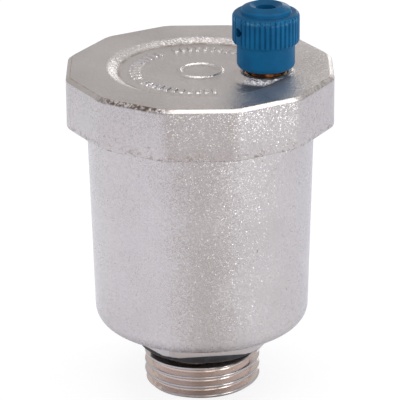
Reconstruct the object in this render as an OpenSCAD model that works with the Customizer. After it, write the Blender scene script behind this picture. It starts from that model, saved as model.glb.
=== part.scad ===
// Automatic air release valve: a float cup with a screwed lid, a jet and a knurled vent cap.
// Millimetres. The origin is the centre of the inlet thread's lower end, +Z points up along the
// cup's axis, and +X points from that axis towards the jet.

/* [Inlet] */
// Major diameter of the male inlet thread
inlet_thread_d = 20.955; // [16:0.005:26]
// Length of full thread from the lower end
inlet_thread_len = 6.3; // [5:0.1:14]
// Chamfer on the thread's lower end
inlet_chamfer = 0.8; // [0.3:0.1:1.2]
// Diameter of the water way through the inlet
inlet_bore_d = 14; // [9:0.5:15]
// Depth of the relief groove above the thread
relief_depth = 1.1; // [0.8:0.1:1.6]
// Cord diameter of the seal that lies in the relief groove
seal_cord_d = 2.4; // [1.8:0.1:3.2]
// Wrench size across the flats of the hexagon
hex_af = 27; // [25:0.5:32]
// Height of the wrench hexagon below the cup
hex_h = 2.3; // [1.5:0.1:8]
// Chamfer on the lower corners of the wrench hexagon
hex_chamfer = 0.5; // [0.2:0.1:1]
// Turn of the hexagon's flats from the jet's direction, in degrees
hex_turn = -7.5; // [-30:0.5:30]

/* [Cup] */
// Outer diameter of the cup at the shoulder under the lid
cup_d = 40.34; // [37:0.02:50]
// Height of the cup from its bottom to the shoulder
cup_h = 38.5; // [34:0.5:60]
// Draft of the cup's side, in degrees
cup_draft = 1.5; // [0.5:0.1:2]
// Thickness of the cup's side wall
cup_wall = 2.4; // [2:0.1:3]
// Thickness of the cup's floor
cup_floor = 2.25; // [1.8:0.05:4]
// Outer radius where the cup's side meets its bottom
cup_corner = 3; // [1.5:0.1:3.6]
// Height of the threaded neck above the shoulder
neck_h = 5.3; // [4.5:0.1:8]
// Width of the shoulder that the lid seats on
neck_step = 0.55; // [0.3:0.05:0.9]

/* [Lid] */
// Number of flats on the lid
lid_sides = 12; // [8:2:12]
// Thickness of the lid's skirt at the flats
lid_wall = 3.8; // [3:0.1:6]
// Thickness of the lid's top
lid_top_t = 2.75; // [2.2:0.05:5]
// Rounding of the lid's upper edge
lid_round = 0.9; // [0.4:0.1:1.5]
// Rounding of the lid's lower edge
lid_low_round = 0.4; // [0.2:0.1:0.8]
// Distance from a flat to the rim of the round recess
recess_margin = 7; // [5.5:0.1:9]
// Width of the recess's sloping wall
recess_slope = 2; // [1:0.1:3]
// Depth of the recess
recess_depth = 0.9; // [0.4:0.05:1.2]
// Thickness of the gasket between the neck and the lid
gasket_t = 1.3; // [0.8:0.1:2]

/* [Jet] */
// Diameter of the jet's shank in the lid
jet_shank_d = 8; // [7.4:0.1:8.6]
// Height of the boss round the jet above the lid's top
boss_rise = 0.1; // [0.1:0.05:1]
// Wall of the boss round the shank, at its top
boss_wall = 0.6; // [0.4:0.05:1.5]
// Width of the boss's sloping side
boss_slope = 1.4; // [0.6:0.1:2]
// Height of the boss inside the lid
inner_boss_h = 1.1; // [0.6:0.1:1.5]
// Wall of the boss inside the lid
inner_boss_wall = 1; // [0.7:0.1:1.2]
// Diameter of the spigot that the vent cap screws on
jet_spigot_d = 6; // [5:0.1:6.4]
// Diameter of the jet's upper tip
jet_tip_d = 3.6; // [2.8:0.1:4.2]
// Height of the jet's upper tip
jet_tip_h = 1.8; // [1.7:0.1:2.2]
// Width of the hexagon's lip past the shank
jet_lip = 0.6; // [0.4:0.05:0.7]
// Height of the jet's hexagon
jet_hex_h = 1.5; // [1:0.1:2.5]
// Length of the nose below the hexagon
nose_h = 1.6; // [1.5:0.1:2.4]
// Diameter of the valve seat on the nose
seat_d = 2.4; // [1.8:0.1:2.7]
// Diameter of the jet's air hole
orifice_d = 1.2; // [0.6:0.1:1.4]
// Thickness of the washer between the lid and the bracket
washer_t = 0.5; // [0.3:0.05:1]

/* [Vent cap] */
// Gap between the boss and the closed cap
cap_gap = 0.7; // [0.3:0.05:1.2]
// Diameter of the cap's skirt
skirt_d = 10.2; // [9.6:0.1:11]
// Height of the skirt below the knurled ring
skirt_h = 4.6; // [3.5:0.1:5]
// Rounding of the skirt's lower edge
skirt_round = 1; // [0.4:0.1:1.2]
// Diameter of the knurled ring
knurl_d = 11.78; // [11.6:0.02:14]
// Height of the knurled ring
knurl_h = 5.5; // [5:0.1:6]
// Rounding of the knurled ring's upper edge
knurl_round = 0.8; // [0.4:0.1:1]
// Number of flutes round the ring, the one left out at the vent hole included
flutes = 40; // [24:1:48]
// Depth of a flute
flute_depth = 0.3; // [0.15:0.05:0.35]
// Diameter of a flute's cutter
flute_d = 0.5; // [0.4:0.05:0.8]
// Diameter of the raised disc on the cap's top
disc_d = 8.72; // [8:0.02:9.2]
// Height of the raised disc
disc_h = 1.3; // [1:0.1:2]
// Diameter of the disc's upper rim
rim_d = 5.74; // [5.4:0.02:6.4]
// Width of the disc's upper rim round the dish
rim_w = 0.15; // [0.1:0.05:0.3]
// Depth of the dish that leads into the blind hole
dish_depth = 0.6; // [0.3:0.1:0.8]
// Diameter of the blind hole in the cap's top
top_hole_d = 3.4; // [2.6:0.1:4.4]
// Depth of the blind hole below the cap's top
top_hole_depth = 1.6; // [1:0.1:2]
// Diameter of the side vent hole
vent_d = 1.6; // [1:0.1:1.7]
// Direction of the side vent hole from the jet's side of the lid, in degrees
vent_turn = -132; // [-180:1:180]
// Thickness of the sealing disc in the cap
cap_seal_t = 1; // [0.6:0.1:1.2]
// Plastic left between the sealing disc and the blind hole
cap_web = 0.6; // [0.5:0.1:1.2]

/* [Lever] */
// Distance from the hinge pin to the jet's axis
pad_arm = 3.1; // [2.9:0.05:3.6]
// Travel of the float from resting to closed
float_travel = 5; // [3:0.1:6]
// Diameter of the hinge pin
hinge_pin_d = 1.5; // [1.2:0.05:1.6]
// Outer radius of the lever's eyes
eye_r = 1.2; // [1.1:0.05:1.35]
// Thickness of the lever's web
web_t = 1.4; // [1:0.1:1.6]
// Height of the valve pad above the web
pad_proud = 1.5; // [1.4:0.1:1.8]
// Thickness of the lever's rib
rib_t = 2; // [1.4:0.1:2.6]
// Half height of the rib at the link slot
rib_half = 1.6; // [1.5:0.1:1.9]
// Diameter of the link pin
link_pin_d = 1.2; // [1:0.05:1.3]
// Wire diameter of the lever's spring
spring_wire = 0.3; // [0.2:0.02:0.36]
// Turns of the lever's spring
spring_turns = 3.5; // [2.5:0.5:4]

/* [Bracket] */
// Thickness of the bracket's sheet
bracket_t = 0.8; // [0.5:0.1:1]
// Half width of the bracket's ears round the pin
ear_r = 1.25; // [1.1:0.05:1.4]
// Room between the bracket's ears and the cup's neck
ear_room = 0.55; // [0.4:0.05:1]
// Thickness of the snap ring on the hinge pin
clip_t = 0.4; // [0.3:0.05:0.5]

/* [Float] */
// Gap between the float and the cup's wall at the floor
float_gap = 1.8; // [1:0.1:3]
// Wall of the float
float_wall = 1; // [0.8:0.1:1.6]
// Rounding of the float's top edge
float_round = 2.5; // [1.2:0.1:4]
// Height of the float's feet
foot_h = 1.6; // [1:0.1:3]
// Diameter of a foot
foot_d = 3; // [2:0.1:4]
// Height of the link pin above the float's top
lug_drop = 3.6; // [3.2:0.1:5]
// Thickness of a lug on the float
lug_t = 1.2; // [1:0.1:2]

/* [Hidden] */
$fn = 96;
// Radial clearances of a screwed fit, a pressed fit, a running fit and the link in its slot
screw_fit = 0.05;
press_fit = 0.02;
run_fit = 0.05;
link_fit = 0.14;
// Side clearance between moving faces, and the gap left where a soft face closes
side_fit = 0.2;
close_fit = 0.05;
// Play of the seal in its groove, and of the pieces round the lever's spring
seal_play = 0.25;
spring_play = 0.3;
// Overshoot of a cut past a face
over = 1;
// Steps along an arc, and rings and sides of the spring's wire
arc_steps = 6;
wire_rings = 14;
wire_sides = 6;

inlet_r = inlet_thread_d / 2;
relief_r = inlet_r - relief_depth;
relief_z = inlet_thread_len + relief_depth;
hex_z = relief_z + seal_cord_d + seal_play;
cup_z = hex_z + hex_h;
shoulder_z = cup_z + cup_h;
neck_top_z = shoulder_z + neck_h;
floor_z = cup_z + cup_floor;
cup_r = cup_d / 2;
neck_r = cup_r - neck_step;
neck_chamfer = neck_step;
cavity_r = cup_r - cup_wall;
cavity_corner = max(cup_corner - cup_wall, 0.5);
slope = tan(cup_draft);
function cup_r_at(z) = cup_r - (shoulder_z - z) * slope;
function cavity_r_at(z) = cup_r_at(z) - cup_wall;

lid_bore_r = neck_r + screw_fit;
lid_apothem = lid_bore_r + lid_wall;
ceiling_z = neck_top_z + gasket_t;
lid_top_z = ceiling_z + lid_top_t;
recess_z = lid_top_z - recess_depth;
recess_rim_r = lid_apothem - recess_margin;
gasket_in_r = cavity_r + 2 * close_fit;

shank_r = jet_shank_d / 2;
inner_boss_r = shank_r + inner_boss_wall;
inner_boss_z = ceiling_z - inner_boss_h;
bracket_top_z = inner_boss_z - washer_t;
jet_hex_top_z = bracket_top_z - bracket_t;
jet_hex_z = jet_hex_top_z - jet_hex_h;
seat_z = jet_hex_z - nose_h;
jet_hex_af = jet_shank_d + 2 * jet_lip;
boss_top_r = shank_r + boss_wall;
boss_top_z = lid_top_z + boss_rise;
jet_chamfer = 0.4;

cap_z = boss_top_z + cap_gap;
knurl_z = cap_z + skirt_h;
knurl_top_z = knurl_z + knurl_h;
cap_top_z = knurl_top_z + disc_h;
cap_bore_r = jet_spigot_d / 2 + run_fit;
cap_pocket_z = cap_top_z - top_hole_depth - cap_web;
cap_seal_z = cap_pocket_z - close_fit - cap_seal_t;
jet_tip_z = cap_seal_z - close_fit;
jet_spigot_z = jet_tip_z - jet_tip_h;
vent_z = cap_seal_z - vent_d / 2 - close_fit;

pin_r = hinge_pin_d / 2;
spring_r = pad_arm - pin_r - spring_wire / 2 - spring_play;
pad_r = spring_r - spring_wire / 2 - side_fit;
eye_in = spring_r + spring_wire / 2 + spring_play;
ear_in = jet_hex_af / 2 + side_fit;
eye_out = ear_in - side_fit;
ear_out = ear_in + bracket_t;
pivot_x = sqrt(pow(cavity_r - ear_room, 2) - pow(ear_out, 2)) - ear_r;
pivot_z = seat_z;
jet_x = pivot_x - pad_arm;
web_top = -pad_proud;
web_low = web_top - web_t;
pad_depth = web_t / 2;
web_tail = 3;
web_len = pad_arm + pad_r + web_tail;
rib_start = web_len - web_tail / 2;
rib_run = 2;
rib_rise = web_len + rib_run;
lever_turn = atan(float_travel / pivot_x);
link_r = link_pin_d / 2;
slot_r = link_r + link_fit;
slot_near = pivot_x;
slot_far = pivot_x / cos(lever_turn);
link_z = pivot_z - float_travel;

// The hinge pin's head, the groove for its snap ring, and the snap ring
clip_y = ear_out + press_fit;
head_h = clip_t + side_fit;
head_r = 1.5 * pin_r;
groove_r = 0.75 * pin_r;
clip_r = 1.7 * pin_r;

float_r = cavity_r_at(floor_z) - float_gap;
float_z = floor_z + 2 * close_fit + foot_h;
float_top_z = link_z - lug_drop;
base_t = float_wall;
plug_h = 2 * float_wall;
shell_z = float_z + base_t;
lug_in = rib_t / 2 + side_fit + close_fit;
lug_out = lug_in + lug_t;
lug_half = link_r + lug_t;
foot_ring_r = (inlet_bore_d / 2 + float_r) / 2;
feet = 3;

nickel = "#c8c3bf";
brass = "#c79a4b";
steel = "#a9adb0";
black_rubber = "#26272a";
blue_plastic = "#1a5a86";
white_plastic = "#ece9e0";
float_plastic = "#d8d2c0";
red_fibre = "#a5472f";

// Points of an arc round a centre, from one angle to another
function arc(centre, r, from, to) =
    [for (i = [0:arc_steps]) let (a = from + (to - from) * i / arc_steps)
        centre + r * [cos(a), sin(a)]];

// Points of a smooth step from one point up to another, level at both ends
function smooth_step(low, high) =
    [for (i = [0:arc_steps]) let (t = i / arc_steps)
        [low[0] + (high[0] - low[0]) * t, low[1] + (high[1] - low[1]) * (1 - cos(180 * t)) / 2]];

// Points of a quarter of an ellipse, upright at its lower end and level at its upper end
function dome(low, high) =
    [for (i = [0:arc_steps]) let (a = 90 * i / arc_steps)
        [high[0] + (low[0] - high[0]) * cos(a), low[1] + (high[1] - low[1]) * sin(a)]];

// Points of a corner arc between a level bottom and a drafted side that passes through side_r at z = 0
function drafted_corner(z, r, side_r) =
    let (lift = z + r * (1 - sin(cup_draft)), centre_r = side_r + lift * slope - r * cos(cup_draft))
        arc([centre_r, z + r], r, -90, -cup_draft);

module ring(r_in, r_out, z, h) {
    translate([0, 0, z])
        difference() {
            cylinder(r = r_out, h = h);
            translate([0, 0, -over]) cylinder(r = r_in, h = h + 2 * over);
        }
}

// A cylinder along Y, between two places
module cross_pin(r, from, to, fn = 48) {
    translate([0, to, 0]) rotate([90, 0, 0]) cylinder(r = r, h = to - from, $fn = fn);
}

module at_jet() {
    translate([jet_x, 0, 0]) children();
}

// Places the lever's own frame, which has the hinge at its origin, drooping as it does with no water
module at_lever() {
    translate([pivot_x, 0, pivot_z]) rotate([0, -lever_turn, 0]) children();
}

module wrench_hexagon() {
    top_z = cup_z + cup_floor / 2;
    corner_r = hex_af / 2 / cos(30);
    intersection() {
        translate([0, 0, hex_z])
            rotate([0, 0, hex_turn + 30])
                cylinder(r = corner_r, h = top_z - hex_z, $fn = 6);
        rotate_extrude()
            polygon([
                [0, hex_z - over], [corner_r - 2 * (hex_chamfer + over), hex_z - over],
                [corner_r + 2 * over, hex_z + hex_chamfer + over], [corner_r + 2 * over, top_z + over],
                [0, top_z + over]
            ]);
    }
}

module cup_outside() {
    rotate_extrude()
        polygon(concat(
            [
                [0, 0], [inlet_r - inlet_chamfer, 0], [inlet_r, inlet_chamfer],
                [inlet_r, inlet_thread_len], [relief_r, relief_z], [relief_r, cup_z]
            ],
            drafted_corner(cup_z, cup_corner, cup_r_at(0)),
            [
                [cup_r, shoulder_z], [neck_r, shoulder_z], [neck_r, neck_top_z - neck_chamfer],
                [neck_r - neck_chamfer, neck_top_z], [0, neck_top_z]
            ]
        ));
}

module cup_inside() {
    rotate_extrude()
        polygon(concat(
            [[0, floor_z]],
            drafted_corner(floor_z, cavity_corner, cavity_r_at(0)),
            [[cavity_r, shoulder_z], [cavity_r, neck_top_z + over], [0, neck_top_z + over]]
        ));
}

module body() {
    color(nickel)
        difference() {
            union() {
                cup_outside();
                wrench_hexagon();
            }
            cup_inside();
            translate([0, 0, -over]) cylinder(d = inlet_bore_d, h = floor_z + 2 * over);
        }
}

module thread_seal() {
    cord_r = seal_cord_d / 2;
    color(black_rubber)
        translate([0, 0, hex_z - close_fit - cord_r])
            rotate_extrude()
                translate([relief_r + close_fit + cord_r, 0]) circle(r = cord_r, $fn = 48);
}

// The lid's outside: a regular prism whose edges are rounded
module lid_outside() {
    to_corner = 1 / cos(180 / lid_sides);
    outline = concat(
        [[0, shoulder_z]],
        arc([lid_apothem - lid_low_round, shoulder_z + lid_low_round], lid_low_round, -90, 0),
        arc([lid_apothem - lid_round, lid_top_z - lid_round], lid_round, 0, 90),
        [[0, lid_top_z]]
    );
    rotate_extrude($fn = lid_sides) polygon([for (p = outline) [p[0] * to_corner, p[1]]]);
}

module lid_recess() {
    rotate_extrude()
        polygon(concat(
            [[0, recess_z]],
            smooth_step([recess_rim_r - recess_slope, recess_z], [recess_rim_r, lid_top_z]),
            [[recess_rim_r, lid_top_z + over], [0, lid_top_z + over]]
        ));
}

module jet_boss() {
    at_jet()
        translate([0, 0, recess_z])
            cylinder(r1 = boss_top_r + boss_slope, r2 = boss_top_r, h = boss_top_z - recess_z);
}

module lid_inside() {
    difference() {
        translate([0, 0, shoulder_z - over]) cylinder(r = lid_bore_r, h = ceiling_z - shoulder_z + over);
        at_jet() translate([0, 0, inner_boss_z]) cylinder(r = inner_boss_r, h = inner_boss_h + over);
    }
}

module lid() {
    color(nickel)
        difference() {
            union() {
                difference() {
                    lid_outside();
                    lid_recess();
                }
                jet_boss();
            }
            lid_inside();
            at_jet()
                translate([0, 0, inner_boss_z - over])
                    cylinder(r = shank_r + press_fit, h = boss_top_z - inner_boss_z + 2 * over);
        }
}

module lid_gasket() {
    color(black_rubber) ring(gasket_in_r, neck_r, neck_top_z, gasket_t);
}

module jet() {
    spigot_r = jet_spigot_d / 2;
    tip_r = jet_tip_d / 2;
    color(brass)
        at_jet()
            difference() {
                union() {
                    rotate_extrude()
                        polygon([
                            [0, seat_z], [seat_d / 2, seat_z], [pad_r, jet_hex_z], [pad_r, jet_hex_top_z],
                            [shank_r, jet_hex_top_z], [shank_r, boss_top_z], [spigot_r, boss_top_z],
                            [spigot_r, jet_spigot_z - jet_chamfer], [spigot_r - jet_chamfer, jet_spigot_z],
                            [tip_r, jet_spigot_z], [tip_r, jet_tip_z - jet_chamfer],
                            [tip_r - jet_chamfer, jet_tip_z], [0, jet_tip_z]
                        ]);
                    translate([0, 0, jet_hex_z]) cylinder(d = jet_hex_af / cos(30), h = jet_hex_h, $fn = 6);
                }
                translate([0, 0, seat_z - over])
                    cylinder(d = orifice_d, h = jet_tip_z - seat_z + 2 * over, $fn = 32);
            }
}

module jet_gasket() {
    color(red_fibre) at_jet() ring(shank_r + press_fit, inner_boss_r, bracket_top_z, washer_t);
}

module lever_bracket() {
    color(steel)
        difference() {
            union() {
                translate([0, 0, jet_hex_top_z])
                    linear_extrude(bracket_t)
                        union() {
                            translate([jet_x, 0]) circle(r = inner_boss_r);
                            translate([jet_x, -ear_out]) square([pad_arm + ear_r, 2 * ear_out]);
                        }
                for (y = [-ear_out, ear_in]) {
                    translate([pivot_x - ear_r, y, pivot_z])
                        cube([2 * ear_r, bracket_t, jet_hex_top_z - pivot_z + bracket_t / 2]);
                    translate([pivot_x, 0, pivot_z]) cross_pin(ear_r, y, y + bracket_t);
                }
            }
            at_jet()
                translate([0, 0, jet_hex_top_z - over])
                    cylinder(r = shank_r + press_fit, h = bracket_t + 2 * over);
            translate([pivot_x, 0, pivot_z]) cross_pin(pin_r + press_fit, -ear_out - over, ear_out + over);
        }
}

module hinge_pin() {
    color(steel)
        translate([pivot_x, 0, pivot_z])
            difference() {
                union() {
                    cross_pin(pin_r, -clip_y, clip_y + 2 * clip_t);
                    cross_pin(head_r, -clip_y - head_h, -clip_y);
                }
                difference() {
                    cross_pin(pin_r + over, clip_y, clip_y + clip_t);
                    cross_pin(groove_r, clip_y - over, clip_y + clip_t + over);
                }
            }
}

module hinge_clip() {
    color(steel)
        translate([pivot_x, 0, pivot_z])
            difference() {
                cross_pin(clip_r, clip_y + press_fit, clip_y + clip_t - press_fit);
                cross_pin(groove_r + press_fit, clip_y - over, clip_y + clip_t + over);
                translate([-groove_r, clip_y - over, -clip_r])
                    cube([2 * groove_r, clip_t + 2 * over, clip_r]);
            }
}

// The lever's rib, from the web to the link slot, seen from the side
module lever_rib() {
    translate([0, rib_t / 2, 0])
        rotate([90, 0, 0])
            linear_extrude(rib_t)
                polygon([
                    [-rib_start, web_low], [-rib_rise, -rib_half], [-slot_far, -rib_half],
                    [-slot_far, rib_half], [-rib_rise, rib_half], [-rib_start, web_top]
                ]);
    translate([-slot_far, 0, 0]) cross_pin(rib_half, -rib_t / 2, rib_t / 2);
}

module link_slot() {
    half = rib_t / 2 + over;
    for (x = [-slot_near, -slot_far]) translate([x, 0, 0]) cross_pin(slot_r, -half, half);
    translate([-slot_far, -half, -slot_r]) cube([slot_far - slot_near, 2 * half, 2 * slot_r]);
}

module lever() {
    color(white_plastic)
        at_lever()
            difference() {
                union() {
                    translate([-web_len, -eye_out, web_low]) cube([web_len, 2 * eye_out, web_t]);
                    for (y = [-eye_out, eye_in]) {
                        translate([-2 * eye_r, y, web_low]) cube([2 * eye_r, eye_out - eye_in, -web_low]);
                        cross_pin(eye_r, y, y + eye_out - eye_in);
                    }
                    lever_rib();
                }
                cross_pin(pin_r + run_fit, -eye_out - over, eye_out + over);
                translate([-pad_arm, 0, web_top - pad_depth])
                    cylinder(r = pad_r + press_fit, h = pad_depth + over);
                link_slot();
            }
}

module valve_pad() {
    color(black_rubber)
        at_lever()
            translate([-pad_arm, 0, web_top - pad_depth])
                cylinder(r = pad_r, h = pad_depth + pad_proud - close_fit);
}

// Middle of the spring's wire in the lever's frame. Its upper end stays on the jet's hexagon, and its
// lower end droops with the lever.
function spring_point(t) =
    let (a = 360 * spring_turns * t, droop = lever_turn * (1 - t))
    let (low = web_top + spring_wire / 2 + press_fit, high = nose_h - spring_wire / 2 - press_fit)
    let (x = spring_r * cos(a) - pad_arm, z = low + (high - low) * t)
        [x * cos(droop) - z * sin(droop), spring_r * sin(a), x * sin(droop) + z * cos(droop)];
function unit(v) = v / norm(v);

// One ring of points round the spring's wire
function spring_ring(t) =
    let (step = 0.001, p = spring_point(t), along = unit(spring_point(t + step) - spring_point(t - step)))
    let (out = unit(cross(along, [0, 0, 1])), up = cross(out, along))
        [for (i = [0:wire_sides - 1]) let (a = 360 * i / wire_sides)
            p + spring_wire / 2 * (cos(a) * out + sin(a) * up)];

module lever_spring() {
    last = ceil(wire_rings * spring_turns);
    points = [for (i = [0:last]) each spring_ring(i / last)];
    function corner(i, k) = i * wire_sides + k % wire_sides;
    skin = [for (i = [0:last - 1], k = [0:wire_sides - 1])
        [corner(i, k), corner(i, k + 1), corner(i + 1, k + 1), corner(i + 1, k)]];
    ends = [[for (k = [wire_sides - 1:-1:0]) corner(0, k)], [for (k = [0:wire_sides - 1]) corner(last, k)]];
    color(steel)
        translate([pivot_x, 0, pivot_z])
            polyhedron(points, concat(skin, ends));
}

module link_pin() {
    color(steel) translate([0, 0, link_z]) cross_pin(link_r, -lug_out - side_fit, lug_out + side_fit);
}

// The float's closed outside or, shrunk by its wall, its hollow
module float_form(shrink) {
    r = float_r - shrink;
    top = float_top_z - shrink;
    rounding = float_round - shrink;
    bottom = shrink > 0 ? shell_z - over : shell_z;
    rotate_extrude()
        polygon(concat(
            [[0, bottom], [r, bottom]],
            arc([r - rounding, top - rounding], rounding, 0, 90),
            [[0, top]]
        ));
}

module float_shell() {
    color(float_plastic)
        difference() {
            union() {
                difference() {
                    float_form(0);
                    float_form(float_wall);
                }
                for (y = [-lug_out, lug_in]) {
                    translate([-lug_half, y, float_top_z - float_wall / 2])
                        cube([2 * lug_half, lug_t, lug_drop + float_wall / 2]);
                    translate([0, 0, link_z]) cross_pin(lug_half, y, y + lug_t);
                }
            }
            translate([0, 0, link_z]) cross_pin(link_r + press_fit, -lug_out - over, lug_out + over);
        }
}

module float_base() {
    plug_r = float_r - float_wall - press_fit;
    color(float_plastic) {
        translate([0, 0, float_z]) cylinder(r = float_r, h = base_t);
        ring(plug_r - float_wall, plug_r, shell_z - base_t / 2, plug_h + base_t / 2);
        for (i = [0:feet - 1])
            rotate([0, 0, 360 * i / feet])
                translate([foot_ring_r, 0, float_z - foot_h]) cylinder(d = foot_d, h = foot_h + base_t / 2);
    }
}

// The cap's outside, from the skirt's lower edge to the rim round the blind hole
module cap_outside() {
    skirt_r = skirt_d / 2;
    knurl_r = knurl_d / 2;
    disc_r = disc_d / 2;
    step = knurl_r - skirt_r;
    disc_edge = disc_h / 4;
    rotate_extrude()
        polygon(concat(
            [[0, cap_z]],
            arc([skirt_r - skirt_round, cap_z + skirt_round], skirt_round, -90, 0),
            [[skirt_r, knurl_z]],
            arc([knurl_r - step, knurl_z + step], step, -90, 0),
            arc([knurl_r - knurl_round, knurl_top_z - knurl_round], knurl_round, 0, 90),
            [[disc_r, knurl_top_z]],
            dome([disc_r, knurl_top_z + disc_edge], [rim_d / 2, cap_top_z]),
            [[0, cap_top_z]]
        ));
}

module cap_flutes() {
    ring_r = knurl_d / 2 + flute_d / 2 - flute_depth;
    for (i = [1:flutes - 1])
        rotate([0, 0, vent_turn + 360 * i / flutes])
            translate([ring_r, 0, knurl_z - over]) cylinder(d = flute_d, h = knurl_h + 2 * over, $fn = 16);
}

// The dish in the cap's top, from the rim down to the blind hole
module cap_dish() {
    rim_r = rim_d / 2 - rim_w;
    hole_r = top_hole_d / 2;
    rotate_extrude()
        polygon([
            [0, cap_top_z - dish_depth], [hole_r, cap_top_z - dish_depth], [rim_r, cap_top_z],
            [rim_r, cap_top_z + over], [0, cap_top_z + over]
        ]);
}

module vent_cap() {
    color(blue_plastic)
        at_jet()
            difference() {
                cap_outside();
                cap_flutes();
                translate([0, 0, cap_z - over]) cylinder(r = cap_bore_r, h = cap_pocket_z - cap_z + over);
                translate([0, 0, cap_top_z - top_hole_depth])
                    cylinder(d = top_hole_d, h = top_hole_depth + over);
                cap_dish();
                rotate([0, 0, vent_turn])
                    translate([0, 0, vent_z])
                        rotate([0, 90, 0]) cylinder(d = vent_d, h = knurl_d, $fn = 32);
            }
}

module cap_seal() {
    color(black_rubber)
        at_jet()
            translate([0, 0, cap_seal_z]) cylinder(r = cap_bore_r - run_fit, h = cap_seal_t);
}

body();
thread_seal();
lid();
lid_gasket();
jet();
jet_gasket();
lever_bracket();
hinge_pin();
hinge_clip();
lever();
valve_pad();
lever_spring();
link_pin();
float_shell();
float_base();
vent_cap();
cap_seal();
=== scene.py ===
"""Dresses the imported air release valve: forged cup, twelve-sided lid, jet, vent cap and inner works."""

import logging
import math
from collections.abc import Callable, Iterable, Sequence
from dataclasses import dataclass, field
from enum import Enum

import bmesh
import bpy
from mathutils import Matrix, Vector

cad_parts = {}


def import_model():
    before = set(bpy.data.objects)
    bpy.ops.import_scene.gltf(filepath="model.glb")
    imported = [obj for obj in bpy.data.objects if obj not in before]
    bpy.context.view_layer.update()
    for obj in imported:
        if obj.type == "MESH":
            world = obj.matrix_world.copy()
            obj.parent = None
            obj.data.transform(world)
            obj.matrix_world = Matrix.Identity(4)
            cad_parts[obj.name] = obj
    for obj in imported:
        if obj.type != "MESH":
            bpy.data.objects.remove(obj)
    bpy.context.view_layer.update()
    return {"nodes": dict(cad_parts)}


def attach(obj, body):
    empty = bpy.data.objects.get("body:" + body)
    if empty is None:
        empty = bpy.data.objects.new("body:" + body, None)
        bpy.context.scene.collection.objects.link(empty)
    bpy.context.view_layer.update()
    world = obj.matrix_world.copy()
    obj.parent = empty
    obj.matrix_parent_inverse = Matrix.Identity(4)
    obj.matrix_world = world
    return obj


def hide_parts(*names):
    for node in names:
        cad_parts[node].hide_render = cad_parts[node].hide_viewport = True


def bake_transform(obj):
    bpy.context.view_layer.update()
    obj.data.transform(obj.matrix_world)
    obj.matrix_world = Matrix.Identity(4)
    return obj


LOG = logging.getLogger("air_release_valve")
MM = 0.001
MERGE_DISTANCE = 2e-6
CUT_DISTANCE = 1e-8
LEVEL_TOLERANCE = 0.01
SECTOR_DOUBLINGS = 4
VALUE_OPERATIONS = ("DOT_PRODUCT", "LENGTH")

Point = tuple[float, float]
Pair = tuple[int, int]
Colour = tuple[float, float, float]
Shape = Callable[[float, float, float], tuple[float, float, float]]

BLACK: Colour = (0.0, 0.0, 0.0)
WHITE: Colour = (1.0, 1.0, 1.0)
LEVEL_PART = (1.0, 1.0, 0.0)
NOISE_RANGE: Point = (0.3, 0.7)


class Body(Enum):
    """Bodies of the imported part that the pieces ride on."""

    HOUSING = "housing"
    FLOAT = "float"
    LEVER = "valve_lever"
    SEAL_CARRIER = "seal_carrier"
    CAP = "cap"


class Slot(Enum):
    """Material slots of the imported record."""

    PLATED_BODY = "plated_body"
    PLATED_LID = "plated_lid"
    TURNED_BRASS = "turned_brass"
    BLUE_PLASTIC = "blue_plastic"
    BLACK_RUBBER = "black_rubber"
    STAINLESS = "stainless_steel"
    WHITE_PLASTIC = "white_plastic"
    FLOAT_PLASTIC = "float_plastic"
    RED_FIBRE = "red_fibre"


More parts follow.
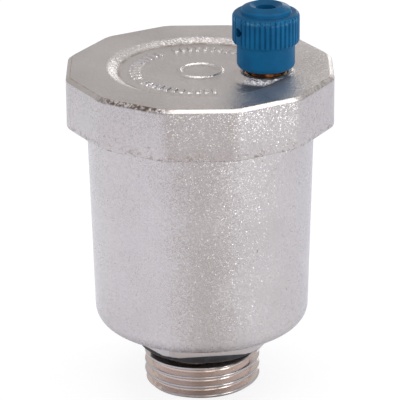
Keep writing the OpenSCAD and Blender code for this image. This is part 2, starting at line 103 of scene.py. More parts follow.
class Nodes:
    """A node tree, with short calls that add and join nodes."""

    def __init__(self, tree: bpy.types.NodeTree) -> None:
        """Empties a node tree.

        Args:
            tree: The tree.
        """
        self.tree = tree
        self.tree.nodes.clear()

    def add(self, kind: str, inputs: dict | None = None, **settings: object) -> bpy.types.Node:
        """Adds a node.

        Args:
            kind: Blender's name of the node type.
            inputs: Values or sockets for the node's inputs, by name or number.
            **settings: Settings of the node itself.

        Returns:
            The new node.
        """
        node = self.tree.nodes.new(kind)
        for key, value in settings.items():
            setattr(node, key, value)
        self.fill(node, inputs or {})
        return node

    def fill(self, node: bpy.types.Node, inputs: dict) -> None:
        """Sets or links a node's inputs.

        Args:
            node: The node.
            inputs: Values or sockets for its inputs, by name or number.
        """
        for key, value in inputs.items():
            if isinstance(value, bpy.types.NodeSocket):
                self.tree.links.new(value, node.inputs[key])
            else:
                node.inputs[key].default_value = value

    def span(self, value: bpy.types.NodeSocket, low: float, high: float, to_low: float = 0.0,
             to_high: float = 1.0) -> bpy.types.NodeSocket:
        """Maps a range of values to another range, smoothly and clamped.

        Args:
            value: The value to map.
            low: Start of its range.
            high: End of its range.
            to_low: Result at the start.
            to_high: Result at the end.

        Returns:
            The mapped value.
        """
        node = self.add("ShaderNodeMapRange", {
            "Value": value, "From Min": low, "From Max": high, "To Min": to_low, "To Max": to_high,
        }, interpolation_type="SMOOTHSTEP")
        return node.outputs["Result"]

    def math(self, operation: str, first: object, second: object = 0.0) -> bpy.types.NodeSocket:
        """Adds a sum, product or other operation on two values.

        Args:
            operation: Blender's name of the operation.
            first: First value or socket.
            second: Second value or socket.

        Returns:
            The result.
        """
        return self.add("ShaderNodeMath", {0: first, 1: second}, operation=operation).outputs["Value"]

    def band(self, value: bpy.types.NodeSocket, rise: Point, fall: Point) -> bpy.types.NodeSocket:
        """Gives 1 inside a band of values and 0 outside it, with smooth ends.

        Args:
            value: The value to map.
            rise: Range in which the result goes from 0 to 1.
            fall: Range in which it goes back to 0.

        Returns:
            The share, from 0 to 1.
        """
        return self.math("MULTIPLY", self.span(value, *rise), self.span(value, *fall, 1.0, 0.0))

    def vector(self, operation: str, first: object, second: object = (0.0, 0.0, 0.0)) -> bpy.types.NodeSocket:
        """Adds an operation on vectors.

        Args:
            operation: Blender's name of the operation.
            first: First vector or socket.
            second: Second vector or socket, for an operation that takes two.

        Returns:
            The result, which is a number for a length or a dot product.
        """
        node = self.add("ShaderNodeVectorMath", {0: first, 1: second}, operation=operation)
        return node.outputs["Value" if operation in VALUE_OPERATIONS else "Vector"]

    def scale(self, first: object, factor: object) -> bpy.types.NodeSocket:
        """Scales a vector or a colour.

        Args:
            first: The vector, colour or socket.
            factor: Its scale, as a number or a socket.

        Returns:
            The scaled vector.
        """
        node = self.add("ShaderNodeVectorMath", {0: first, "Scale": factor}, operation="SCALE")
        return node.outputs["Vector"]

    def mix(self, share: object, first: object, second: object) -> bpy.types.NodeSocket:
        """Mixes two colours.

        Args:
            share: Share of the second colour.
            first: First colour or socket.
            second: Second colour or socket.

        Returns:
            The mixed colour.
        """
        node = self.add("ShaderNodeMix", data_type="RGBA")
        sockets = {"Factor_Float": share, "A_Color": first, "B_Color": second}
        for socket in node.inputs:
            value = sockets.get(socket.identifier)
            if isinstance(value, bpy.types.NodeSocket):
                self.tree.links.new(value, socket)
            elif value is not None:
                socket.default_value = (*value, 1.0) if isinstance(value, tuple) else value
        return next(s for s in node.outputs if s.identifier == "Result_Color")


class Shader(Nodes):
    """A material's node tree, in the part's own coordinates."""

    def __init__(self, name: str) -> None:
        """Makes a material with a surface shader.

        Args:
            name: Name of the material.
        """
        self.material = bpy.data.materials.new(name)
        self.material.use_nodes = True
        super().__init__(self.material.node_tree)
        self.surface = self.add("ShaderNodeBsdfPrincipled")
        self.add("ShaderNodeOutputMaterial", {"Surface": self.surface.outputs["BSDF"]})
        self.place = self.add("ShaderNodeTexCoord").outputs["Object"]

    def noise(self, size: float, detail: float = 2.0, roughness: float = 0.5,
              stretch: Vector | None = None) -> bpy.types.NodeSocket:
        """Adds a noise.

        Args:
            size: Size of its grain in millimetres.
            detail: Octaves of finer grain.
            roughness: Strength of the finer grain.
            stretch: Scale of the coordinates along each axis, if not even.

        Returns:
            The noise's value.
        """
        place = self.place
        if stretch is not None:
            place = self.add("ShaderNodeMapping", {"Vector": place, "Scale": stretch}).outputs["Vector"]
        node = self.add("ShaderNodeTexNoise", {
            "Vector": place, "Scale": 1 / (size * MM), "Detail": detail, "Roughness": roughness,
        })
        return node.outputs["Fac"]

    def bump(self, height: bpy.types.NodeSocket, depth: float, strength: float,
             below: bpy.types.NodeSocket | None = None) -> bpy.types.NodeSocket:
        """Adds a bump.

        Args:
            height: Height of the surface, from 0 to 1.
            depth: Depth of the full height in millimetres.
            strength: Strength of the bump.
            below: Normal of a coarser bump that this one lies on.

        Returns:
            The normal.
        """
        inputs = {"Height": height, "Distance": depth * MM, "Strength": strength}
        if below is not None:
            inputs["Normal"] = below
        return self.add("ShaderNodeBump", inputs).outputs["Normal"]

    def facets(self, size: float, tilt: object, below: bpy.types.NodeSocket) -> bpy.types.NodeSocket:
        """Breaks a surface up into small flat facets that are tilted at random, as blasting does.

        Args:
            size: Size of a facet in millimetres.
            tilt: Spread of the tilts.
            below: Normal of the surface that the facets lie on.

        Returns:
            The normal.
        """
        cells = self.add("ShaderNodeTexVoronoi", {"Vector": self.place, "Scale": 1 / (size * MM)})
        turned = self.vector("SUBTRACT", cells.outputs["Color"], (0.5, 0.5, 0.5))
        return self.vector("NORMALIZE", self.vector("ADD", below, self.scale(turned, tilt)))

    def axis(self, name: str) -> bpy.types.NodeSocket:
        """Gives one coordinate of the place on the part.

        Args:
            name: X, Y or Z.

        Returns:
            The coordinate in metres.
        """
        return self.add("ShaderNodeSeparateXYZ", {"Vector": self.place}).outputs[name]

    def radius(self) -> bpy.types.NodeSocket:
        """Gives the distance from the part's upright axis.

        Returns:
            The distance in metres.
        """
        return self.vector("LENGTH", self.vector("MULTIPLY", self.place, LEVEL_PART))

    def level(self) -> bpy.types.NodeSocket:
        """Gives how far the surface faces upward.

        Returns:
            The upright share of its normal, which is 1 on a level top.
        """
        normal = self.add("ShaderNodeNewGeometry").outputs["Normal"]
        return self.add("ShaderNodeSeparateXYZ", {"Vector": normal}).outputs["Z"]


@dataclass(frozen=True)
class PlatedForging:
    """Nickel plating on hot-forged, blasted brass: fine sparkling grain, brown pits, and worn edges browned
    partly by painted shade.

    Lengths are in millimetres. A band of heights may carry more pits, a ring may be grimy, an upper edge may
    be browned by wear and by painted shade, darkest in a few directions, and polished, and everything below a
    height may be turned and bright.
    """

    name: str
    light: Colour
    dark: Colour
    brown: Colour = (0.24, 0.165, 0.10)
    worn_and_shaded: Colour = (0.10, 0.07, 0.045)
    turned: Colour = (0.74, 0.645, 0.59)
    roughness: float = 0.27
    pit_roughness: float = 0.25
    cloud: float = 9.0
    grain: float = 0.155
    grain_tilt: float = 0.49
    unevenness: float = 1.6
    pit: float = 1.1
    level_tilts: Point = (0.6, 0.97)
    level_relief: float = 1.0
    level_dulling: float = 0.0
    grime_ring: tuple[float, float, float] | None = None
    grime_spot: float = 2.5
    pit_band: Point | None = None
    band_pit: float = 0.9
    edge_band: Point | None = None
    edge_spot: float = 0.7
    edge_radius: float = 21.0
    edge_polish: float = 0.0
    edge_least: float = 0.06
    # Directions and strengths of the upper edge's painted shade, which stands in for dark reflections on
    # those facets
    edge_ways: tuple[Point, ...] = ((-105.0, 0.95), (-14.0, 0.45), (-45.0, 0.12))
    edge_reach: Point = (0.93, 0.985)
    bevel_tilts: tuple[Point, Point] = ((0.2, 0.5), (0.88, 0.97))
    line_tilts: tuple[Point, Point] = ((0.85, 0.91), (0.975, 0.995))
    line_spot: float = 1.2
    shiny_below: float | None = None
    shiny_roughness: float = 0.55
    shiny_relief: float = 0.05
    crest: Point = (10.15, 10.42)

    def material(self) -> bpy.types.Material:
        """Builds the material.

        Returns:
            The material.
        """
        s = Shader(self.name)
        height, level = s.axis("Z"), s.level()
        cloud = s.noise(self.cloud, detail=3.0)
        fine = s.noise(self.grain, detail=1.0, roughness=0.6)
        tone = s.math("ADD", s.math("MULTIPLY", s.span(cloud, *NOISE_RANGE), 0.4),
                      s.math("MULTIPLY", s.span(fine, *NOISE_RANGE), 0.6))
        pits = self.pits(s, height)
        colour = s.mix(s.math("MULTIPLY", pits, 0.6), s.mix(tone, self.dark, self.light), self.brown)
        rough = s.math("ADD", s.span(cloud, 0.2, 0.8, self.roughness - 0.05, self.roughness + 0.06),
                       s.span(level, *self.level_tilts, 0.0, self.level_dulling))
        relief = s.span(level, *self.level_tilts, 1.0, self.level_relief)
        if self.grime_ring:
            colour = s.mix(self.grime(s, height), colour, self.brown)
        if self.edge_band:
            # Worn, browned upper edge, partly painted shade: darker in the directions of edge_ways
            wear = self.edge_wear_and_shade(s, height)
            colour = s.mix(wear, colour, self.worn_and_shaded)
            pits = s.math("MAXIMUM", pits, wear)
        if self.edge_polish:
            bevel = s.math("MULTIPLY", s.band(level, *self.bevel_tilts), self.outside(s))
            relief = s.math("MULTIPLY", relief, s.span(bevel, 0.0, 1.0, 1.0, 1 - self.edge_polish))
            line = s.math("MULTIPLY", s.band(level, *self.line_tilts), self.outside(s))
            spots = s.span(s.noise(self.line_spot, detail=3.0, roughness=0.6), 0.35, 0.6, 0.2, 0.8)
            colour = s.mix(s.math("MULTIPLY", line, spots), colour, self.brown)
        if self.shiny_below is not None:
            forged = s.span(height, (self.shiny_below - 0.2) * MM, self.shiny_below * MM)
            rough = s.math("MULTIPLY", rough, s.span(forged, 0.0, 1.0, self.shiny_roughness, 1.0))
            relief = s.span(forged, 0.0, 1.0, self.shiny_relief, 1.0)
            low, high = (r * MM for r in self.crest)
            groove = s.mix(s.span(s.radius(), low, high), self.turned, colour)
            colour = s.mix(forged, groove, colour)
        rough = s.math("ADD", rough, s.math("MULTIPLY", pits, self.pit_roughness))
        uneven = s.bump(s.noise(self.unevenness, detail=2.0), depth=0.10, strength=0.3)
        pitted = s.bump(s.math("SUBTRACT", 1.0, pits), depth=0.06, strength=0.7, below=uneven)
        normal = s.facets(self.grain, s.math("MULTIPLY", relief, self.grain_tilt), pitted)
        s.fill(s.surface, {"Base Color": colour, "Metallic": 1.0, "Roughness": rough, "Normal": normal})
        return s.material

    def pits(self, s: Shader, height: bpy.types.NodeSocket) -> bpy.types.NodeSocket:
        """Gives where the plating is pitted, more so towards the foot of the band of pits.

        Args:
            s: The material's shader.
            height: Height on the part.

        Returns:
            The pits, from 0 to 1.
        """
        pits = s.span(s.noise(self.pit, detail=4.0, roughness=0.6), 0.68, 0.76)
        if not self.pit_band:
            return pits
        low, high = (z * MM for z in self.pit_band)
        more = s.span(s.noise(self.band_pit, detail=4.0, roughness=0.6), 0.50, 0.68)
        return s.math("MAXIMUM", pits, s.math("MULTIPLY", s.span(height, low, high, 1.0, 0.0), more))

    def grime(self, s: Shader, height: bpy.types.NodeSocket) -> bpy.types.NodeSocket:
        """Gives where grime has gathered in a ring, above the height that goes with it.

        Args:
            s: The material's shader.
            height: Height on the part.

        Returns:
            The grime, from 0 to 1.
        """
        inner, outer, above = (d * MM for d in self.grime_ring)
        middle = (inner + outer) / 2
        ring = s.band(s.radius(), (inner, middle), (middle, outer))
        ring = s.math("MULTIPLY", ring, s.math("GREATER_THAN", height, above))
        spots = s.span(s.noise(self.grime_spot, detail=4.0, roughness=0.6), 0.35, 0.65, 0.1, 0.6)
        return s.math("MULTIPLY", ring, spots)

    def outside(self, s: Shader) -> bpy.types.NodeSocket:
        """Gives where the surface lies outside the edge's radius.

        Args:
            s: The material's shader.

        Returns:
            1 outside and 0 inside.
        """
        return s.math("GREATER_THAN", s.radius(), self.edge_radius * MM)

    def edge_wear_and_shade(self, s: Shader, height: bpy.types.NodeSocket) -> bpy.types.NodeSocket:
        """Gives where the upper edge's plating is worn and browned, partly as painted shade: it is darkest in
        a few directions, where it stands in for a dark reflection.

        Args:
            s: The material's shader.
            height: Height on the part.

        Returns:
            The wear and painted shade, from 0 to 1.
        """
        low, high = (z * MM for z in self.edge_band)
        edge = s.band(height, (low, low + 0.4 * MM), (high - 0.1 * MM, high))
        edge = s.math("MULTIPLY", edge, self.outside(s))
        out = s.vector("NORMALIZE", s.vector("MULTIPLY", s.place, LEVEL_PART))
        share: object = self.edge_least
        for way, strength in self.edge_ways:
            axis = (math.cos(math.radians(way)), math.sin(math.radians(way)), 0)
            near = s.vector("DOT_PRODUCT", out, axis)
            share = s.math("MAXIMUM", share, s.span(near, *self.edge_reach, 0.0, strength))
        spots = s.span(s.noise(self.edge_spot, detail=3.0, roughness=0.6), 0.36, 0.60, 0.15, 1.0)
        return s.math("MULTIPLY", edge, s.math("MULTIPLY", share, spots))


@dataclass(frozen=True)
class MouldedPlastic:
    """Satin moulded plastic with faint flow clouds, fine texture and small pale scuffs.

    A band of heights, in millimetres, may be rubbed pale in spots, and level faces may carry painted shade.
    """

    name: str
    light: Colour
    dark: Colour
    scuff: Colour
    flow: float = 3.5
    texture: float = 0.16
    scratch: float = 0.35
    roughness: float = 0.42
    scuffs: float = 0.35
    gloss: float = 0.5
    ior: float = 1.49
    level_tilts: Point = (0.55, 0.9)
    level_painted_shade: float = 0.0
    rub_band: Point | None = None
    rub_spot: float = 0.6

    def material(self) -> bpy.types.Material:
        """Builds the material.

        Returns:
            The material.
        """
        s = Shader(self.name)
        flow = s.noise(self.flow, detail=3.0)
        fine = s.noise(self.texture, detail=2.0, roughness=0.6)
        scratches = s.span(s.noise(self.scratch, detail=4.0, roughness=0.7), 0.66, 0.78)
        colour = s.mix(s.span(flow, *NOISE_RANGE), self.dark, self.light)
        wear = s.math("MULTIPLY", scratches, self.scuffs)
        if self.rub_band:
            low, high = (z * MM for z in self.rub_band)
            middle = (low + high) / 2
            band = s.band(s.axis("Z"), (low, middle), (middle, high))
            spots = s.span(s.noise(self.rub_spot, detail=3.0, roughness=0.6), 0.44, 0.62, 0.0, 0.55)
            wear = s.math("MAXIMUM", wear, s.math("MULTIPLY", band, spots))
        colour = s.mix(wear, colour, self.scuff)
        # Painted shade: level faces, such as the cap's dome, are darkened by a share of black
        colour = s.mix(s.span(s.level(), *self.level_tilts, 0.0, self.level_painted_shade), colour, BLACK)
        rough = s.math("ADD", s.span(flow, *NOISE_RANGE, self.roughness - 0.05, self.roughness + 0.05),
                       s.math("MULTIPLY", fine, 0.1))
        wavy = s.bump(flow, depth=0.05, strength=0.2)
        normal = s.bump(fine, depth=0.02, strength=0.45, below=wavy)
        s.fill(s.surface, {
            "Base Color": colour, "Roughness": rough, "Normal": normal, "IOR": self.ior,
            "Specular IOR Level": self.gloss,
        })
        return s.material


@dataclass(frozen=True)
class MouldedRubber:
    """Black moulded rubber with a dull bloom."""

    name: str
    dark: Colour = (0.010, 0.010, 0.012)
    bloom: Colour = (0.030, 0.031, 0.034)
    cloud: float = 2.2
    texture: float = 0.12
    roughness: float = 0.5

    def material(self) -> bpy.types.Material:
        """Builds the material.

        Returns:
            The material.
        """
        s = Shader(self.name)
        bloom = s.noise(self.cloud, detail=4.0, roughness=0.6)
        fine = s.noise(self.texture, detail=2.0)
        s.fill(s.surface, {
            "Base Color": s.mix(s.span(bloom, 0.4, 0.7), self.dark, self.bloom),
            "Roughness": s.span(bloom, *NOISE_RANGE, self.roughness - 0.08, self.roughness + 0.1),
            "Normal": s.bump(fine, depth=0.02, strength=0.5),
        })
        return s.material


@dataclass(frozen=True)
class WorkedMetal:
    """Bare metal with the fine lines of turning or drawing, and a light tarnish."""

    name: str
    light: Colour
    tarnish: Colour
    roughness: float = 0.22
    line: float = 0.12
    run: tuple[float, float, float] = (0.06, 0.06, 1.0)
    cloud: float = 2.6

    def material(self) -> bpy.types.Material:
        """Builds the material.

        Returns:
            The material.
        """
        s = Shader(self.name)
        lines = s.noise(self.line, detail=2.0, roughness=0.6, stretch=Vector(self.run))
        cloud = s.noise(self.cloud, detail=3.0)
        rough = s.span(cloud, *NOISE_RANGE, self.roughness - 0.04, self.roughness + 0.06)
        s.fill(s.surface, {
            "Base Color": s.mix(s.span(cloud, 0.40, 0.66, 0.0, 0.85), self.light, self.tarnish),
            "Metallic": 1.0,
            "Roughness": s.math("ADD", rough, s.math("MULTIPLY", lines, 0.08)),
            "Normal": s.bump(lines, depth=0.015, strength=0.5),
        })
        return s.material


@dataclass(frozen=True)
class PressedFibre:
    """Red pressed-fibre washer stock with short flecks."""

    name: str
    light: Colour = (0.46, 0.12, 0.07)
    dark: Colour = (0.28, 0.06, 0.035)
    fleck: float = 0.3
    run: tuple[float, float, float] = (1.0, 0.3, 1.0)

    def material(self) -> bpy.types.Material:
        """Builds the material.

        Returns:
            The material.
        """
        s = Shader(self.name)
        flecks = s.noise(self.fleck, detail=3.0, roughness=0.6, stretch=Vector(self.run))
        s.fill(s.surface, {
            "Base Color": s.mix(s.span(flecks, 0.35, 0.65), self.dark, self.light),
            "Roughness": s.span(flecks, *NOISE_RANGE, 0.7, 0.85),
            "Normal": s.bump(flecks, depth=0.03, strength=0.6),
        })
        return s.material


def arc(centre: Point, radius: float, start: float, end: float, steps: int) -> list[Point]:
    """Gives points along an arc in a profile.

    Args:
        centre: Centre of the arc.
        radius: Its radius.
        start: First angle in degrees.
        end: Last angle in degrees.
        steps: Number of steps.

    Returns:
        The points, from the first angle to the last.
    """
    angles = [math.radians(start + (end - start) * i / steps) for i in range(steps + 1)]
    return [(centre[0] + radius * math.cos(a), centre[1] + radius * math.sin(a)) for a in angles]


def evenly(first: float, last: float, step: float) -> list[float]:
    """Gives evenly spaced values.

    Args:
        first: First value.
        last: Last value.
        step: Largest step between them.

    Returns:
        The values, both ends included.
    """
    count = max(1, math.ceil(abs(last - first) / step))
    return [first + (last - first) * i / count for i in range(count + 1)]


def smooth_between(low: float, high: float, value: float) -> float:
    """Gives a smooth step.

    Args:
        low: Value up to which the step is 0.
        high: Value from which it is 1.
        value: The value.

    Returns:
        The step at the value, from 0 to 1.
    """
    share = min(1.0, max(0.0, (value - low) / (high - low)))
    return share * share * (3 - 2 * share)


def smooth_max(first: float, second: float, width: float) -> float:
    """Gives the larger of two heights, with a fillet where they meet.

    Args:
        first: First height.
        second: Second height.
        width: Difference of the heights at which the fillet ends.

    Returns:
        The height.
    """
    near = max(width - abs(first - second), 0.0) / width
    return max(first, second) + near * near * width / 4


def lathe(bm: bmesh.types.BMesh, profile: Sequence[Point], steps: int, closed: bool = False,
          rise: float = 0.0, shape: Shape | None = None) -> None:
    """Spins a profile round the Z axis: one sector first, which is then doubled until it closes.

    Args:
        bm: Mesh to add to.
        profile: Points as radius and height in millimetres.
        steps: Steps round the axis, a multiple of the number of sectors.
        closed: Whether the profile's ends are joined.
        rise: Height gained in one turn, in millimetres, for a screw.
        shape: Moves the spun vertices, if they don't stay round.
    """
    part = bmesh.new()
    verts = [part.verts.new((r * MM, 0, z * MM)) for r, z in profile]
    pairs = list(zip(verts, verts[1:])) + ([(verts[-1], verts[0])] if closed else [])
    edges = [part.edges.new(pair) for pair in pairs]
    sector = 2 * math.pi / 2 ** SECTOR_DOUBLINGS
    bmesh.ops.spin(part, geom=verts + edges, cent=(0, 0, 0), axis=(0, 0, 1), dvec=(0, 0, rise * MM / steps),
                   angle=sector, steps=steps // 2 ** SECTOR_DOUBLINGS, use_merge=False, use_duplicate=False)
    for doubling in range(SECTOR_DOUBLINGS):
        turn = sector * 2 ** doubling
        made = list(part.verts) + list(part.edges) + list(part.faces)
        copies = bmesh.ops.duplicate(part, geom=made)["geom"]
        copied = [g for g in copies if isinstance(g, bmesh.types.BMVert)]
        bmesh.ops.rotate(part, cent=(0, 0, 0), matrix=Matrix.Rotation(turn, 3, "Z"), verts=copied)
        bmesh.ops.translate(part, vec=(0, 0, rise * MM * turn / (2 * math.pi)), verts=copied)
    bmesh.ops.remove_doubles(part, verts=part.verts, dist=MERGE_DISTANCE)
    if shape:
        turn_verts(part.verts, shape)
    mesh = bpy.data.meshes.new("lathe")
    part.to_mesh(mesh)
    part.free()
    bm.from_mesh(mesh)
    bpy.data.meshes.remove(mesh)


def rounded_polygon(apothem: float, sides: int, corner: float, angle: float) -> float:
    """Gives the radius of a regular polygon with rounded corners.

    Args:
        apothem: Distance from the centre to a flat.
        sides: Number of flats.
        corner: Radius of the corners.
        angle: Direction from a corner, in radians.

    Returns:
        The radius in that direction.
    """
    half = math.pi / sides
    off_corner = abs((angle + half) % (2 * half) - half)
    off_flat = half - off_corner
    corner = min(corner, 0.9 * apothem)
    if off_flat <= math.atan((apothem - corner) * math.tan(half) / apothem):
        return apothem / math.cos(off_flat)
    reach = (apothem - corner) / math.cos(half)
    return reach * math.cos(off_corner) + math.sqrt(corner ** 2 - (reach * math.sin(off_corner)) ** 2)


def turn_verts(verts: Iterable, shape: Shape) -> None:
    """Moves vertices in cylindrical coordinates.

    Args:
        verts: Vertices to move.
        shape: Takes radius, angle and height and gives the new ones, with lengths in millimetres.
    """
    for v in verts:
        r, a, z = shape(math.hypot(v.co.x, v.co.y) / MM, math.atan2(v.co.y, v.co.x), v.co.z / MM)
        v.co = (r * MM * math.cos(a), r * MM * math.sin(a), z * MM)


def cylinder_mesh(radius: float, low: Vector, high: Vector, segments: int = 64) -> bpy.types.Mesh:
    """Makes a closed cylinder between two points, for a cut.

    Args:
        radius: Its radius in millimetres.
        low: Centre of one end in millimetres.
        high: Centre of the other end in millimetres.
        segments: Sides.

    Returns:
        The mesh.
    """
    bm = bmesh.new()
    along = high - low
    place = Matrix.Translation((low + high) / 2 * MM) @ along.to_track_quat("Z", "Y").to_matrix().to_4x4()
    bmesh.ops.create_cone(bm, cap_ends=True, segments=segments, radius1=radius * MM, radius2=radius * MM,
                          depth=along.length * MM, matrix=place)
    mesh = bpy.data.meshes.new("cut")
    bm.to_mesh(mesh)
    bm.free()
    return mesh


def combine(piece: bpy.types.Object, tool: bpy.types.Mesh, operation: str) -> None:
    """Cuts a mesh out of a piece or joins it on, and keeps the result as the piece's mesh.

    Args:
        piece: The piece.
        tool: Mesh to cut or join.
        operation: DIFFERENCE or UNION.
    """
    helper = bpy.data.objects.new("helper", tool)
    bpy.context.scene.collection.objects.link(helper)
    modifier = piece.modifiers.new("cut", "BOOLEAN")
    modifier.object, modifier.operation, modifier.solver = helper, operation, "EXACT"
    graph = bpy.context.evaluated_depsgraph_get()
    graph.update()
    made = bpy.data.meshes.new_from_object(piece.evaluated_get(graph))
    piece.modifiers.clear()
    piece.data = made
    bpy.data.objects.remove(helper)
    bpy.data.meshes.remove(tool)


def make_piece(name: str, bm: bmesh.types.BMesh, body: Body | None, finish: bpy.types.Material,
               replaced: Sequence[str]) -> bpy.types.Object:
    """Turns a bmesh into a piece that rides on a body and stands for CAD nodes.

    Args:
        name: Name of the piece.
        bm: Its shape, which is freed.
        body: Body that it rides on, or None to leave it on no body.
        finish: Its material.
        replaced: CAD nodes that it stands for.

    Returns:
        The piece.
    """
    bmesh.ops.remove_doubles(bm, verts=bm.verts, dist=MERGE_DISTANCE)
    bmesh.ops.recalc_face_normals(bm, faces=bm.faces)
    mesh = bpy.data.meshes.new(name)
    bm.to_mesh(mesh)
    bm.free()
    piece = bpy.data.objects.new(name, mesh)
    bpy.context.scene.collection.objects.link(piece)
    mesh.materials.append(finish)
    if body:
        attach(piece, body.value)
    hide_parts(*replaced)
    LOG.info("piece %s rides on %s", name, body.value if body else "two bodies")
    return piece


def shade(piece: bpy.types.Object, sharp_angle: float = 38.0) -> None:
    """Shades a piece smoothly, apart from its sharp edges.

    Args:
        piece: The piece.
        sharp_angle: Angle in degrees past which an edge is sharp.
    """
    piece.data.shade_smooth()
    piece.data.set_sharp_from_angle(angle=math.radians(sharp_angle))


def helix_surface(bm: bmesh.types.BMesh, profile: Sequence[Point], pitch: float, crest_z: float,
                  low: float, high: float, steps: int) -> None:
    """Adds the skin of a right-hand thread between two heights.

    Args:
        bm: Mesh to add to.
        profile: One pitch of the thread as radius and height, from crest to crest.
        pitch: The pitch.
        crest_z: Height of a crest at angle 0.
        low: Lower end.
        high: Upper end.
        steps: Steps round the axis.
    """
    first = math.floor((low - crest_z) / pitch) - 2
    count = math.ceil((high - low) / pitch) + 4
    points = [(r, crest_z + (first + i) * pitch + z) for i in range(count) for r, z in profile[:-1]]
    lathe(bm, points, steps, rise=pitch)
    for height, normal in ((low, (0, 0, -1)), (high, (0, 0, 1))):
        bmesh.ops.bisect_plane(bm, geom=list(bm.verts) + list(bm.edges) + list(bm.faces), dist=CUT_DISTANCE,
                               plane_co=(0, 0, height * MM), plane_no=normal, clear_outer=True)


def boundary_at(bm: bmesh.types.BMesh, height: float) -> list:
    """Gives the open edges that lie at one height.

    Args:
        bm: The mesh.
        height: Height in millimetres.

    Returns:
        The edges.
    """
    near = LEVEL_TOLERANCE * MM
    return [e for e in bm.edges if e.is_boundary and all(abs(v.co.z - height * MM) < near for v in e.verts)]


@dataclass(frozen=True)
class PipeThread:
    """A 55-degree parallel pipe thread with rounded crests and roots."""

    major_r: float
    pitch: float
    half_angle: float = 27.5
    round_share: float = 0.137329
    round_steps: int = 4

    def profile(self) -> list[Point]:
        """Gives one pitch of the thread, from crest to crest, as radius and height.

        Returns:
            The points.
        """
        triangle = self.pitch / 2 / math.tan(math.radians(self.half_angle))
        depth = triangle * 2 / 3
        round_r = self.round_share * self.pitch
        sweep = 90 - self.half_angle
        crest = arc((self.major_r - round_r, 0), round_r, 0, sweep, self.round_steps)
        root_centre = (self.major_r - depth + round_r, self.pitch / 2)
        root = arc(root_centre, round_r, 180 + sweep, 180, self.round_steps)
        half = crest + root
        back = [(x, self.pitch - z) for x, z in reversed(half[:-1])]
        return half + back


